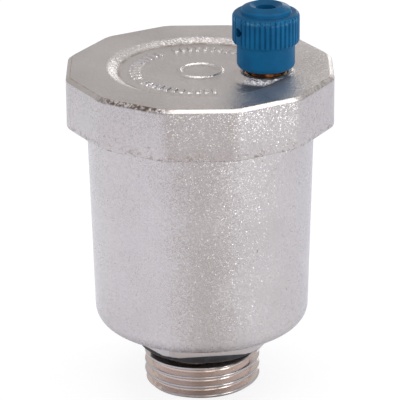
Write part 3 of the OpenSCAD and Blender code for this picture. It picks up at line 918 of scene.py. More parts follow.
@dataclass
class Cup:
    """The forged cup with its inlet thread, wrench hexagon and the seal ring in the relief groove."""

    bore_r: float = 7.0
    thread_r: float = 10.4775
    pitch: float = 1.814
    crest_z: float = 0.766
    crest_angle: float = -75.0
    chamfer: float = 0.8
    relief_r: float = 9.3775
    relief_z: float = 7.4
    relief_run_in: float = 0.12
    hex_z: float = 10.05
    hex_apothem: float = 13.5
    hex_turn: float = -7.5
    hex_corner: float = 0.5
    hex_chamfer: float = 1.0
    hex_levels: Point = (-0.35, 0.5)
    hex_foot: tuple[Point, ...] = ((-0.3, 0.0), (-0.06, 0.06), (0.0, 0.25), (0.0, 0.6))
    hex_fillet: tuple[Point, ...] = ((0.0, -0.45), (0.06, -0.2), (0.2, -0.06), (0.42, 0.0))
    groove_fillet: tuple[Point, ...] = ((0.0, -0.2), (0.06, -0.06), (0.2, 0.0))
    cup_z: float = 12.35
    corner_r: float = 3.0
    corner_steps: Pair = (12, 4)
    draft: float = 1.5
    cup_r: float = 20.17
    side_z: float = 20.0
    side_step: float = 4.0
    shoulder_z: float = 50.85
    shoulder_chamfer: float = 0.25
    neck_r: float = 19.62
    neck_z: float = 56.15
    neck_chamfer: float = 0.55
    bore_chamfer: float = 0.3
    cavity_r: float = 17.77
    floor_z: float = 14.6
    seal_r: float = 10.6275
    seal_z: float = 8.8
    cord_r: float = 1.2
    cord_sides: int = 24
    steps: int = 240
    sharp_angle: float = 32.0

    def side_r(self, z: float) -> float:
        """Gives the radius of the drafted side.

        Args:
            z: Height.

        Returns:
            The radius at that height.
        """
        return self.cup_r - (self.shoulder_z - z) * math.tan(math.radians(self.draft))

    def drafted_corner(self, z: float, corner: float, inset: float, steps: int) -> list[Point]:
        """Gives the arc from a level bottom to the drafted side.

        Args:
            z: Height of the bottom.
            corner: Radius of the arc.
            inset: Distance of the side from the outer side.
            steps: Steps along the arc.

        Returns:
            The points, from the bottom up.
        """
        tilt = math.radians(self.draft)
        touch_z = z + corner * (1 - math.sin(tilt))
        centre = (self.side_r(touch_z) - inset - corner * math.cos(tilt), z + corner)
        return arc(centre, corner, -90, -self.draft, steps)

    def hexagon_rings(self) -> list[Point]:
        """Gives the hexagon's levels, as the flats' distance from the axis and the height.

        Returns:
            The levels, from the lower face up to the fillet under the cup.
        """
        foot = [(self.hex_apothem + r, self.hex_z + z) for r, z in self.hex_foot]
        fillet = [(self.hex_apothem + r, self.cup_z + z) for r, z in self.hex_fillet]
        return foot + fillet

    def build(self, finish: bpy.types.Material, rubber: bpy.types.Material) -> list[bpy.types.Object]:
        """Builds the cup and its seal ring.

        Args:
            finish: The plating.
            rubber: The seal ring's material.

        Returns:
            The pieces.
        """
        bm = bmesh.new()
        thread = PipeThread(self.thread_r, self.pitch)
        turn = self.pitch * -self.crest_angle / 360
        helix_surface(bm, thread.profile(), self.pitch, self.crest_z + turn, 0.0, self.relief_z, self.steps)
        turn_verts(bm.verts, self.trim_thread)
        groove_z = self.relief_z + self.relief_run_in
        lathe(bm, self.profile(groove_z), self.steps, shape=self.shape_hexagon)
        bmesh.ops.bridge_loops(bm, edges=boundary_at(bm, self.relief_z) + boundary_at(bm, groove_z))
        bmesh.ops.bridge_loops(bm, edges=boundary_at(bm, 0.0))
        cup = make_piece("cup", bm, Body.HOUSING, finish, ["body"])
        shade(cup, self.sharp_angle)
        seal = bmesh.new()
        last = 360 * (self.cord_sides - 1) / self.cord_sides
        cord = arc((self.seal_r, self.seal_z), self.cord_r, 0, last, self.cord_sides - 1)
        lathe(seal, cord, self.steps, closed=True)
        ring = make_piece("seal_ring", seal, Body.HOUSING, rubber, ["thread_seal"])
        shade(ring)
        return [cup, ring]

    def profile(self, groove_z: float) -> list[Point]:
        """Gives the cup's profile, from the relief groove over the outside and the cavity to the bore's end.

        Args:
            groove_z: Height in the groove at which the profile starts.

        Returns:
            The points as radius and height.
        """
        wall = self.cup_r - self.cavity_r
        outer_steps, inner_steps = self.corner_steps
        side_top = self.shoulder_z - self.shoulder_chamfer
        return [
            (self.relief_r, groove_z),
            *[(self.relief_r + r, self.hex_z + z) for r, z in self.groove_fillet],
            *self.hexagon_rings(),
            *self.drafted_corner(self.cup_z, self.corner_r, 0.0, outer_steps),
            *[(self.side_r(z), z) for z in evenly(self.side_z, side_top, self.side_step)],
            (self.cup_r - self.shoulder_chamfer, self.shoulder_z), (self.neck_r, self.shoulder_z),
            (self.neck_r, self.neck_z - self.neck_chamfer), (self.neck_r - self.neck_chamfer, self.neck_z),
            (self.cavity_r, self.neck_z), (self.cavity_r, self.shoulder_z),
            *reversed(self.drafted_corner(self.floor_z, self.corner_r - wall, wall, inner_steps)),
            (self.bore_r, self.floor_z), (self.bore_r, self.bore_chamfer),
            (self.bore_r + self.bore_chamfer, 0.0),
        ]

    def trim_thread(self, r: float, a: float, z: float) -> tuple[float, float, float]:
        """Chamfers the thread's lower end and runs it out into the relief groove.

        Args:
            r: Radius.
            a: Angle.
            z: Height.

        Returns:
            The trimmed radius, and the angle and height as they were.
        """
        if z > self.relief_z - LEVEL_TOLERANCE:
            return self.relief_r, a, z
        return min(r, self.thread_r - self.chamfer + z, self.relief_r + self.relief_z - z), a, z

    def shape_hexagon(self, r: float, a: float, z: float) -> tuple[float, float, float]:
        """Moves a spun vertex of the hexagon's levels out to its flats, whose lower corners are chamfered.

        Args:
            r: Radius, which is the flats' distance from the axis at the hexagon's levels.
            a: Angle.
            z: Height.

        Returns:
            The new radius, and the angle and height as they were.
        """
        least, most = self.hex_levels
        beside = not least < r - self.hex_apothem < most
        if beside or not self.hex_z - LEVEL_TOLERANCE < z < self.cup_z + LEVEL_TOLERANCE:
            return r, a, z
        corner_turn = math.radians(self.hex_turn + 30)
        corner = self.hex_apothem / math.cos(math.pi / 6)
        outline = rounded_polygon(r, 6, self.hex_corner, a - corner_turn)
        return min(outline, corner - self.hex_chamfer + 2 * (z - self.hex_z)), a, z


@dataclass
class Lid:
    """The twelve-sided forged lid with its round recess, jet boss and raised marks."""

    apothem: float = 23.47
    sides: int = 12
    corner: float = 5.0
    low_z: float = 50.85
    top_z: float = 60.2
    bevel: Point = (0.76, 0.54)
    bevel_rounds: Point = (0.35, 0.2)
    bevel_steps: Pair = (4, 5)
    round_low: float = 0.4
    round_steps: int = 5
    floor_z: float = 59.3
    floor_r: float = 14.47
    rim_r: float = 16.47
    ramp_round: float = 0.18
    bore_r: float = 19.67
    ceiling_z: float = 57.45
    jet_x: float = 11.934
    hole_r: float = 4.02
    boss_z: float = 60.3
    boss_r: float = 4.6
    boss_slope: float = 1.4
    inner_boss_r: float = 5.0
    inner_boss_z: float = 56.35
    fillet: float = 0.35
    ring_r: float = 3.7
    ring_half: float = 0.4
    mark_r: float = 11.5
    mark_half_len: float = 0.85
    mark_half: float = 0.26
    mark_turn: float = 7.0
    mark_arcs: tuple[Point, ...] = ((72.0, 128.0), (145.0, 215.0), (228.0, 297.0))
    mark_rise: float = 0.28
    edge: float = 0.16
    steps: int = 720
    fine_r: float = 19.4
    ring_step: float = 0.22
    cut_sides: int = 96
    sharp_angle: float = 40.0

    def marks(self, r: float, a: float) -> float:
        """Gives the height of the plain raised ring and dashes on the recess's floor.

        Args:
            r: Radius.
            a: Angle in radians.

        Returns:
            The height over the floor.
        """
        rise = 1 - smooth_between(self.ring_half - self.edge / 2, self.ring_half + self.edge / 2,
                                  abs(r - self.ring_r))
        degrees = math.degrees(a) % 360
        for start, end in self.mark_arcs:
            if start - self.mark_turn < degrees < end + self.mark_turn:
                count = round((end - start) / self.mark_turn)
                share = min(1.0, max(0.0, (degrees - start) / (end - start)))
                nearest = start + (end - start) * round(share * count) / count
                across = abs(math.radians(degrees - nearest)) * self.mark_r
                along = abs(r - self.mark_r)
                bar = (1 - smooth_between(self.mark_half, self.mark_half + self.edge, across)) * (
                    1 - smooth_between(self.mark_half_len, self.mark_half_len + self.edge, along))
                rise = max(rise, bar)
        return rise * self.mark_rise

    def top_height(self, r: float, a: float) -> float:
        """Gives the height of the lid's top: flat rim, recess, jet boss and raised marks.

        Args:
            r: Radius.
            a: Angle in radians.

        Returns:
            The height.
        """
        ramp = smooth_max((r - self.floor_r) / (self.rim_r - self.floor_r), 0.0, self.ramp_round)
        height = self.top_z - (self.top_z - self.floor_z) * smooth_max(1 - ramp, 0.0, self.ramp_round)
        away = math.hypot(r * math.cos(a) - self.jet_x, r * math.sin(a))
        slope = (self.boss_z - self.floor_z) / self.boss_slope
        boss = self.boss_z - slope * max(0.0, away - self.boss_r)
        return smooth_max(height, boss, self.fillet) + self.marks(r, a)

    def build(self, finish: bpy.types.Material) -> bpy.types.Object:
        """Builds the lid.

        Args:
            finish: The plating.

        Returns:
            The piece.
        """
        outer = self.outer_profile()
        outer_r = outer[0][0] - LEVEL_TOLERANCE
        profile = [
            *[(r, self.top_z) for r in evenly(0, self.fine_r, self.ring_step)], *outer,
            (self.bore_r, self.low_z), (self.bore_r, self.ceiling_z), (0, self.ceiling_z),
        ]
        top_z, top_r = self.top_z - LEVEL_TOLERANCE, self.fine_r + LEVEL_TOLERANCE
        bm = bmesh.new()
        lathe(bm, profile, self.steps, shape=lambda r, a, z: (
            rounded_polygon(r, self.sides, self.corner, a) if r > outer_r else r, a,
            self.top_height(r, a) if z > top_z and r < top_r else z))
        lid = make_piece("lid_shell", bm, Body.HOUSING, finish, ["lid"])
        axis = Vector((self.jet_x, 0, 0))
        boss = cylinder_mesh(self.inner_boss_r, axis + Vector((0, 0, self.inner_boss_z)),
                             axis + Vector((0, 0, self.ceiling_z + 0.5)), self.cut_sides)
        combine(lid, boss, "UNION")
        hole = cylinder_mesh(self.hole_r, axis + Vector((0, 0, self.inner_boss_z - 1)),
                             axis + Vector((0, 0, self.boss_z + 1)), self.cut_sides)
        combine(lid, hole, "DIFFERENCE")
        shade(lid, self.sharp_angle)
        return lid

    def outer_profile(self) -> list[Point]:
        """Gives the profile of the flats: the bevel with its two rounds at the top, and the lower round.

        Returns:
            The points, as the flats' distance from the axis and the height, from the top down.
        """
        across, down = self.bevel
        upper, lower = self.bevel_rounds
        upper_steps, lower_steps = self.bevel_steps
        tilt = math.degrees(math.atan2(across, down))
        level_r = self.apothem - across - upper * math.tan(math.radians(90 - tilt) / 2)
        side_z = self.top_z - down - lower * math.tan(math.radians(tilt) / 2)
        low = self.round_low
        return [
            *arc((level_r, self.top_z - upper), upper, 90, tilt, upper_steps),
            *arc((self.apothem - lower, side_z), lower, tilt, 0, lower_steps),
            *arc((self.apothem - low, self.low_z + low), low, 0, -90, self.round_steps),
        ]


@dataclass
class Jet:
    """The brass jet: seat and hexagon under the lid, and the threaded spigot that carries the cap."""

    axis_x: float = 11.934
    orifice_r: float = 0.6
    seat_r: float = 1.2
    seat_z: float = 51.95
    nose_r: float = 1.55
    hex_apothem: float = 4.6
    hex_z: float = 53.55
    hex_top_z: float = 55.05
    shank_r: float = 4.0
    shank_top_z: float = 60.3
    spigot_r: float = 3.0
    pitch: float = 0.75
    thread_z: float = 61.2
    thread_top_z: float = 66.4
    spigot_z: float = 67.3
    tip_r: float = 1.8
    tip_z: float = 69.1
    round_off: float = 0.12
    chamfer: float = 0.4
    neck_depth: float = 0.35
    run_out: Point = (0.2, 0.1)
    land: float = 0.25
    steps: int = 192
    sharp_angle: float = 32.0

    def build(self, finish: bpy.types.Material) -> bpy.types.Object:
        """Builds the jet.

        Args:
            finish: The brass.

        Returns:
            The piece.
        """
        bm = bmesh.new()
        helix_surface(bm, PipeThread(self.spigot_r, self.pitch).profile(), self.pitch, self.thread_z,
                      self.thread_z, self.thread_top_z, self.steps)
        e, c = self.round_off, self.chamfer
        neck_r = self.spigot_r - self.neck_depth
        run_r, run_z = self.spigot_r - self.run_out[0], self.run_out[1]
        low = [
            (self.orifice_r, self.seat_z + e), (self.orifice_r + e, self.seat_z), (self.seat_r, self.seat_z),
            (self.nose_r, self.hex_z), (self.hex_apothem - e, self.hex_z), (self.hex_apothem, self.hex_z + e),
            (self.hex_apothem, self.hex_top_z - e), (self.hex_apothem - e, self.hex_top_z),
            (self.shank_r, self.hex_top_z), (self.shank_r, self.shank_top_z - c),
            (self.shank_r - c, self.shank_top_z), (neck_r, self.shank_top_z),
            (neck_r, self.thread_z - self.neck_depth), (run_r, self.thread_z - run_z),
        ]
        high = [
            (run_r, self.thread_top_z + run_z), (self.spigot_r, self.thread_top_z + self.land),
            (self.spigot_r, self.spigot_z - c), (self.spigot_r - c, self.spigot_z),
            (self.tip_r, self.spigot_z), (self.tip_r, self.tip_z - c), (self.tip_r - c, self.tip_z),
            (self.orifice_r + e, self.tip_z), (self.orifice_r, self.tip_z - e),
        ]
        lathe(bm, low, self.steps, shape=lambda r, a, z: (
            rounded_polygon(r, 6, e, a) if r > self.shank_r + LEVEL_TOLERANCE else r, a, z))
        lathe(bm, high, self.steps)
        for ends in ((self.thread_z - run_z, self.thread_z), (self.thread_top_z, self.thread_top_z + run_z),
                     (self.seat_z + e, self.tip_z - e)):
            bmesh.ops.bridge_loops(bm, edges=[edge for height in ends for edge in boundary_at(bm, height)])
        bmesh.ops.translate(bm, vec=(self.axis_x * MM, 0, 0), verts=bm.verts)
        jet = make_piece("jet_body", bm, Body.HOUSING, finish, ["jet"])
        shade(jet, self.sharp_angle)
        return jet


@dataclass
class VentCap:
    """The knurled plastic cap that screws on the jet, with its domed top and side vent hole."""

    axis_x: float = 11.934
    low_z: float = 61.0
    bore_r: float = 3.05
    bore_chamfer: float = 0.3
    pocket_z: float = 70.2
    skirt_r: float = 5.1
    skirt_round: float = 1.0
    knurl_r: float = 5.89
    knurl_z: float = 65.6
    knurl_top_z: float = 71.1
    knurl_round: float = 0.8
    knurl_ledge: float = 0.1
    knurl_straight: Point = (0.3, 1.1)
    knurl_step: float = 0.5
    edge: float = 0.08
    disc_r: float = 4.36
    disc_rise: float = 0.4
    disc_round: float = 0.45
    rim_r: float = 2.87
    rim_w: float = 0.15
    top_z: float = 72.4
    dish_depth: float = 0.6
    hole_r: float = 1.7
    hole_depth: float = 1.6
    hole_chamfer: float = 0.2
    flutes: int = 40
    flute_flat: float = 0.03
    flute_half: float = 0.27
    flute_depth: float = 0.3
    round_steps: int = 8
    knurl_round_steps: int = 12
    dome_steps: int = 6
    vent_r: float = 0.8
    vent_z: float = 68.3
    vent_turn: float = -132.0
    vent_reach: Point = (1.5, 8.0)
    vent_sides: int = 48
    steps_per_flute: int = 16
    sharp_angle: float = 26.0

    def profile(self) -> list[Point]:
        """Gives the cap's profile, from the bore's end over the outside to the blind hole.

        Returns:
            The points as radius and height.
        """
        step = self.knurl_r - self.skirt_r
        edge_z = self.knurl_top_z + self.disc_rise
        slope = math.degrees(math.atan2(self.top_z - edge_z - 0.2, self.disc_r - self.rim_r))
        dome = arc((self.disc_r - self.disc_round, edge_z), self.disc_round, 0, 90 - slope, self.dome_steps)
        dish_r, dish_z = self.rim_r - self.rim_w, self.top_z - self.dish_depth
        hole_z = self.top_z - self.hole_depth
        skirt, under, over = self.skirt_round, step - self.knurl_ledge, self.knurl_round
        low, high = self.knurl_z + step + self.knurl_straight[0], self.knurl_top_z - self.knurl_straight[1]
        return [
            (0, self.pocket_z), (self.bore_r, self.pocket_z), (self.bore_r, self.low_z + self.bore_chamfer),
            (self.bore_r + self.bore_chamfer, self.low_z),
            *arc((self.skirt_r - skirt, self.low_z + skirt), skirt, -90, 0, self.round_steps),
            (self.skirt_r, self.knurl_z - self.edge), (self.skirt_r + self.edge, self.knurl_z),
            *arc((self.knurl_r - under, self.knurl_z + under), under, -90, 0, self.round_steps),
            *[(self.knurl_r, z) for z in evenly(low, high, self.knurl_step)],
            *arc((self.knurl_r - over, self.knurl_top_z - over), over, 0, 90, self.knurl_round_steps),
            (self.disc_r + 0.12, self.knurl_top_z), (self.disc_r + 0.02, self.knurl_top_z + self.edge),
            *dome, (self.rim_r, self.top_z),
            (dish_r, self.top_z - 0.02), (self.hole_r, dish_z),
            (self.hole_r, hole_z + self.hole_chamfer), (self.hole_r - self.hole_chamfer, hole_z), (0, hole_z),
        ]

    def shape_flutes(self, r: float, a: float, z: float) -> tuple[float, float, float]:
        """Sinks the flutes into the knurled ring, apart from the one at the vent hole.

        Args:
            r: Radius.
            a: Angle from the vent hole.
            z: Height.

        Returns:
            The new radius, and the angle and height as they were.
        """
        if r < self.skirt_r + self.edge / 2 or z < self.knurl_z - LEVEL_TOLERANCE:
            return r, a, z
        spacing = 2 * math.pi / self.flutes
        turns = a / spacing
        if round(turns) % self.flutes == 0:
            return r, a, z
        aside = abs(turns - round(turns)) * spacing * self.knurl_r
        depth = self.flute_depth * (1 - smooth_between(self.flute_flat, self.flute_half, aside))
        return min(r, self.knurl_r - depth), a, z

    def build(self, finish: bpy.types.Material) -> bpy.types.Object:
        """Builds the cap.

        Args:
            finish: The plastic.

        Returns:
            The piece.
        """
        bm = bmesh.new()
        lathe(bm, self.profile(), self.flutes * self.steps_per_flute, shape=self.shape_flutes)
        turn = math.radians(self.vent_turn)
        bmesh.ops.rotate(bm, cent=(0, 0, 0), matrix=Matrix.Rotation(turn, 3, "Z"), verts=bm.verts)
        bmesh.ops.translate(bm, vec=(self.axis_x * MM, 0, 0), verts=bm.verts)
        cap = make_piece("knurled_cap", bm, Body.CAP, finish, ["vent_cap"])
        out = Vector((math.cos(turn), math.sin(turn), 0))
        inner, outer = (Vector((self.axis_x, 0, self.vent_z)) + reach * out for reach in self.vent_reach)
        combine(cap, cylinder_mesh(self.vent_r, inner, outer, self.vent_sides), "DIFFERENCE")
        shade(cap, self.sharp_angle)
        return cap


@dataclass(frozen=True)
class SoftPiece:
    """An inner piece: its CAD solid with the edges rounded off."""

    node: str
    body: Body
    slot: Slot
    edge: float
    flat_angle: float = 1.0
    edge_angle: float = 35.0
    segments: int = 3
    sharp_angle: float = 30.0

    def build(self, source: bpy.types.Object, finish: bpy.types.Material) -> bpy.types.Object:
        """Builds the piece.

        Args:
            source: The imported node.
            finish: Its material.

        Returns:
            The piece.
        """
        bm = bmesh.new()
        bm.from_mesh(source.data)
        bmesh.ops.transform(bm, matrix=source.matrix_world, verts=bm.verts)
        bmesh.ops.remove_doubles(bm, verts=bm.verts, dist=MERGE_DISTANCE)
        flat, least = math.radians(self.flat_angle), math.radians(self.edge_angle)
        bmesh.ops.dissolve_limit(bm, angle_limit=flat, verts=bm.verts, edges=bm.edges)
        edges = [e for e in bm.edges if e.is_manifold and e.calc_face_angle() > least]
        bmesh.ops.bevel(bm, geom=edges, offset=self.edge * MM, offset_type="OFFSET", segments=self.segments,
                        profile=0.5, affect="EDGES", material=-1, clamp_overlap=True)
        piece = make_piece(f"{self.node}_piece", bm, self.body, finish, [self.node])
        shade(piece, self.sharp_angle)
        return piece


@dataclass
class LeverSpring:
    """The coil of round wire between the lever and the jet's hexagon.

    Its upper end stays on the hexagon, and its lower end droops with the lever at rest.
    """

    pivot: Point = (15.034, 51.95)
    arm: float = 3.1
    coil_r: float = 1.9
    wire_r: float = 0.15
    low: float = -1.33
    high: float = 1.43
    droop: float = 18.397
    turns: float = 3.5
    steps_per_turn: int = 40
    sides: int = 12
    sharp_angle: float = 50.0

    def wind(self) -> bmesh.types.BMesh:
        """Winds the wire straight up round the jet's axis, as it is with the lever closed.

        Returns:
            The coil, with the hinge at the origin.
        """
        bm = bmesh.new()
        steps = round(self.turns * self.steps_per_turn)
        start = Matrix.Translation((self.coil_r * MM, 0, self.low * MM))
        bmesh.ops.create_circle(bm, cap_ends=False, segments=self.sides, radius=self.wire_r * MM,
                                matrix=start @ Matrix.Rotation(math.pi / 2, 4, "X"))
        bmesh.ops.spin(bm, geom=list(bm.verts) + list(bm.edges), cent=(0, 0, 0), axis=(0, 0, 1),
                       dvec=(0, 0, (self.high - self.low) * MM / steps), angle=2 * math.pi * self.turns,
                       steps=steps, use_merge=False, use_duplicate=False)
        bmesh.ops.holes_fill(bm, edges=[e for e in bm.edges if e.is_boundary], sides=0)
        bmesh.ops.translate(bm, vec=(-self.arm * MM, 0, 0), verts=bm.verts)
        return bm

    def build(self, finish: bpy.types.Material) -> bpy.types.Object:
        """Builds the spring in its drooped shape, on no body.

        Args:
            finish: The steel.

        Returns:
            The piece.
        """
        bm = self.wind()
        full = math.radians(self.droop)
        for v in bm.verts:
            drooped = full * (1 - smooth_between(self.low, self.high, v.co.z / MM))
            v.co = Matrix.Rotation(-drooped, 3, "Y") @ v.co
        hinge = Vector((self.pivot[0], 0, self.pivot[1])) * MM
        bmesh.ops.translate(bm, vec=hinge, verts=bm.verts)
        spring = make_piece("lever_spring_piece", bm, None, finish, ["lever_spring"])
        shade(spring, self.sharp_angle)
        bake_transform(spring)
        return spring


@dataclass
class InnerWorks:
    """The lever, spring, float and seals inside the valve."""

    pieces: tuple[SoftPiece, ...] = (
        SoftPiece("lid_gasket", Body.HOUSING, Slot.BLACK_RUBBER, 0.15),
        SoftPiece("jet_gasket", Body.HOUSING, Slot.RED_FIBRE, 0.08),
        SoftPiece("lever_bracket", Body.HOUSING, Slot.STAINLESS, 0.08),
        SoftPiece("hinge_pin", Body.HOUSING, Slot.STAINLESS, 0.1),
        SoftPiece("hinge_clip", Body.HOUSING, Slot.STAINLESS, 0.05),
        SoftPiece("lever", Body.LEVER, Slot.WHITE_PLASTIC, 0.12),
        SoftPiece("valve_pad", Body.LEVER, Slot.BLACK_RUBBER, 0.08),
        SoftPiece("link_pin", Body.FLOAT, Slot.STAINLESS, 0.1),
        SoftPiece("float_shell", Body.FLOAT, Slot.FLOAT_PLASTIC, 0.2),
        SoftPiece("float_base", Body.FLOAT, Slot.FLOAT_PLASTIC, 0.15),
        SoftPiece("cap_seal", Body.SEAL_CARRIER, Slot.BLACK_RUBBER, 0.1),
    )
    spring: LeverSpring = field(default_factory=LeverSpring)

    def build(self, nodes: dict[str, bpy.types.Object], finishes: dict[Slot, bpy.types.Material]) -> None:
        """Builds the pieces, the spring last.

        Args:
            nodes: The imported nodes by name.
            finishes: Material by slot.
        """
        for piece in self.pieces:
            piece.build(nodes[piece.node], finishes[piece.slot])
        self.spring.build(finishes[Slot.STAINLESS])


@dataclass(frozen=True)
class Surround:
    """Colours round the valve, by direction as the camera sees it, which blend softly: the room's light, or
    painted light on the floor.
    """

    front: Colour
    left: Colour
    right: Colour
    behind_left: Colour
    behind_right: Colour

    def colour(self, s: Nodes, way: bpy.types.NodeSocket, azimuth: float) -> bpy.types.NodeSocket:
        """Gives the colour in a direction.

        Args:
            s: The node tree.
            way: Direction from the valve.
            azimuth: Direction of the camera in degrees.

        Returns:
            The colour.
        """
        a = math.radians(azimuth)
        toward = s.vector("DOT_PRODUCT", way, (math.sin(a), -math.cos(a), 0))
        aside = s.vector("DOT_PRODUCT", way, (math.cos(a), math.sin(a), 0))
        front = s.mix(s.span(aside, 0.1, 0.75), self.front, self.right)
        front = s.mix(s.span(aside, -0.55, -0.05, 1.0, 0.0), front, self.left)
        behind = s.mix(s.span(aside, -0.4, 0.4), self.behind_left, self.behind_right)
        return s.mix(s.span(toward, -0.5, -0.05, 1.0, 0.0), front, behind)


@dataclass(frozen=True)
class Softbox:
    """A square lamp that faces the valve.

    Its direction is in degrees, to the right of the camera's and above the horizon. Its size is in metres
    and its power in watts.
    """

    name: str
    aside: float
    above: float
    size: float
    power: float

    def build(self, target: Vector, azimuth: float, distance: float) -> None:
        """Places the lamp.

        Args:
            target: Point that it faces, in metres.
            azimuth: Direction of the camera in degrees.
            distance: Distance from the target in metres.
        """
        data = bpy.data.lights.new(self.name, "AREA")
        data.shape, data.size, data.energy = "SQUARE", self.size, self.power
        lamp = bpy.data.objects.new(self.name, data)
        bpy.context.scene.collection.objects.link(lamp)
        a, e = math.radians(azimuth + self.aside), math.radians(self.above)
        out = Vector((math.sin(a) * math.cos(e), -math.cos(a) * math.cos(e), math.sin(e)))
        lamp.location = target + distance * out
        lamp.rotation_euler = (-out).to_track_quat("-Z", "Y").to_euler()


@dataclass
class Studio:
    """The camera, the pale floor and the soft light."""

    target: Vector = Vector((-0.170, -0.046, 34.757))
    distance: float = 522.7
    azimuth: float = 15.0
    elevation: float = 21.588
    roll: float = -0.445
    lens: float = 262.5
    sensor: float = 36.0
    clip: Point = (0.01, 50.0)
    floor_half: float = 3.0
    floor_drop: float = 0.02
    room: Surround = Surround((0.68, 0.655, 0.645), (0.74, 0.755, 0.83), (0.625, 0.64, 0.68),
                              (0.63, 0.605, 0.59), (0.595, 0.583, 0.577))
    # Painted light on the floor, which the metal shows in reflection: lighter and bluer to the left, darker
    # in front, and brighter near the valve
    floor: Surround = Surround((0.61, 0.58, 0.57), (0.91, 0.905, 0.95), (0.81, 0.81, 0.835),
                               (0.94, 0.96, 1.0), (0.82, 0.83, 0.89))
    near_floor_light: float = 1.06
    near_reach: Point = (90.0, 170.0)
    glow: float = 1.07
    glow_share: float = 0.78
    lamp_distance: float = 0.8
    softboxes: tuple[Softbox, ...] = (
        Softbox("right", 50.0, 12.0, 0.26, 1.0),
        Softbox("upper_right", 98.0, 56.0, 0.26, 1.0),
        Softbox("front", 16.0, 12.0, 0.30, 0.42),
        Softbox("top", 0.0, 88.0, 0.6, 1.8),
        Softbox("behind", 163.0, 12.0, 0.20, 0.40),
    )

    def set_camera(self) -> None:
        """Places the camera at the photograph's viewpoint."""
        a, e, roll = (math.radians(x) for x in (self.azimuth, self.elevation, self.roll))
        back = Vector((math.sin(a) * math.cos(e), -math.cos(a) * math.cos(e), math.sin(e)))
        right = Vector((math.cos(a), math.sin(a), 0))
        up = back.cross(right)
        right, up = math.cos(roll) * right + math.sin(roll) * up, math.cos(roll) * up - math.sin(roll) * right
        data = bpy.data.cameras.new("camera")
        data.lens, data.sensor_width = self.lens, self.sensor
        data.clip_start, data.clip_end = self.clip
        camera = bpy.data.objects.new("camera", data)
        bpy.context.scene.collection.objects.link(camera)
        turn = Matrix((right, up, back)).transposed().to_4x4()
        camera.matrix_world = Matrix.Translation((self.target + self.distance * back) * MM) @ turn
        bpy.context.scene.camera = camera

    def set_floor(self) -> None:
        """Makes the pale floor, which keeps the valve's shadow, with painted light: lighter to the sides,
        darker in front and brighter near the valve.
        """
        bm = bmesh.new()
        bmesh.ops.create_grid(bm, x_segments=1, y_segments=1, size=self.floor_half)
        bmesh.ops.translate(bm, vec=(0, 0, -self.floor_drop * MM), verts=bm.verts)
        mesh = bpy.data.meshes.new("floor")
        bm.to_mesh(mesh)
        bm.free()
        floor = bpy.data.objects.new("floor", mesh)
        bpy.context.scene.collection.objects.link(floor)
        s = Shader("pale_floor")
        out = s.vector("NORMALIZE", s.place)
        low, high = (r * MM for r in self.near_reach)
        # Painted light: the floor's colour changes by direction and is brighter near the valve
        near = s.span(s.radius(), low, high, self.near_floor_light, 1.0)
        floor_colour_and_light = s.scale(self.floor.colour(s, out, self.azimuth), near)
        s.fill(s.surface, {"Base Color": floor_colour_and_light, "Roughness": 0.9, "Specular IOR Level": 0.1})
        seen = s.add("ShaderNodeLightPath").outputs["Is Camera Ray"]
        glow = s.add("ShaderNodeEmission", {"Color": (*WHITE, 1.0), "Strength": self.glow})
        both = s.add("ShaderNodeMixShader", {
            0: s.math("MULTIPLY", seen, self.glow_share),
            1: s.surface.outputs["BSDF"],
            2: glow.outputs["Emission"],
        })
        output = next(n for n in s.tree.nodes if n.type == "OUTPUT_MATERIAL")
        s.tree.links.new(both.outputs["Shader"], output.inputs["Surface"])
        mesh.materials.append(s.material)

    def set_light(self) -> None:
        """Lights the valve with a soft room, which the camera sees as white, and with the softboxes."""
        world = bpy.data.worlds.new("studio")
        bpy.context.scene.world = world
        world.use_nodes = True
        s = Nodes(world.node_tree)
        way = s.add("ShaderNodeTexCoord").outputs["Generated"]
        room = self.room.colour(s, way, self.azimuth)
        seen = s.add("ShaderNodeLightPath").outputs["Is Camera Ray"]
        light = s.add("ShaderNodeBackground", {"Color": s.mix(seen, room, WHITE)})
        s.add("ShaderNodeOutputWorld", {"Surface": light.outputs["Background"]})
        for box in self.softboxes:
            box.build(self.target * MM, self.azimuth, self.lamp_distance)


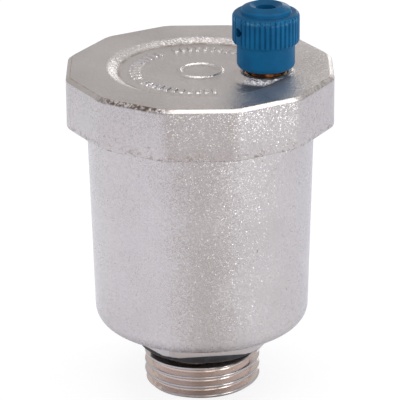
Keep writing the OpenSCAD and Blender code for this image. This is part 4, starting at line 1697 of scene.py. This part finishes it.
def main() -> None:
    """Builds and dresses the valve, its studio and its camera."""
    logging.basicConfig(level=logging.INFO, format="%(message)s")
    bpy.context.scene.view_settings.view_transform = "Standard"
    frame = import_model()
    studio = Studio()
    studio.set_camera()
    studio.set_floor()
    studio.set_light()

    cup_plating = PlatedForging("plated_cup", (0.665, 0.64, 0.635), (0.565, 0.535, 0.525), shiny_below=12.2)
    lid_plating = PlatedForging("plated_lid", (0.645, 0.617, 0.609), (0.548, 0.515, 0.503), level_relief=0.58,
                                level_dulling=0.07, grime_ring=(13.9, 15.1, 59.0), pit_band=(51.0, 53.0),
                                edge_band=(59.3, 60.22), edge_polish=0.75)
    # Painted shade: the cap's level faces, such as the dome, get a share of black
    cap_plastic = MouldedPlastic("blue_plastic", (0.006, 0.134, 0.300), (0.005, 0.102, 0.236),
                                 (0.13, 0.33, 0.48), roughness=0.36, scuffs=0.4, gloss=0.11,
                                 level_painted_shade=0.37, rub_band=(69.8, 70.9))
    # Painted shade: the brass's dark base colour and dark patches stand in for the shade in the gap under the
    # cap, where the jet shows
    brass = WorkedMetal("turned_brass", (0.44, 0.22, 0.08), (0.10, 0.045, 0.02), roughness=0.17, cloud=1.2)
    steel = WorkedMetal("drawn_steel", (0.60, 0.60, 0.61), (0.45, 0.44, 0.43), roughness=0.25)
    acetal = MouldedPlastic("white_acetal", (0.82, 0.80, 0.75), (0.74, 0.72, 0.66), (0.9, 0.88, 0.84))
    float_plastic = MouldedPlastic("float_polypropylene", (0.74, 0.69, 0.58), (0.66, 0.61, 0.50),
                                   (0.80, 0.77, 0.68), roughness=0.5)
    rubber = MouldedRubber("moulded_rubber").material()
    Cup().build(cup_plating.material(), rubber)
    Lid().build(lid_plating.material())
    Jet().build(brass.material())
    VentCap().build(cap_plastic.material())
    InnerWorks().build(frame["nodes"], {
        Slot.BLACK_RUBBER: rubber, Slot.RED_FIBRE: PressedFibre("pressed_fibre").material(),
        Slot.STAINLESS: steel.material(), Slot.WHITE_PLASTIC: acetal.material(),
        Slot.FLOAT_PLASTIC: float_plastic.material(),
    })


if __name__ == "__main__":
    main()
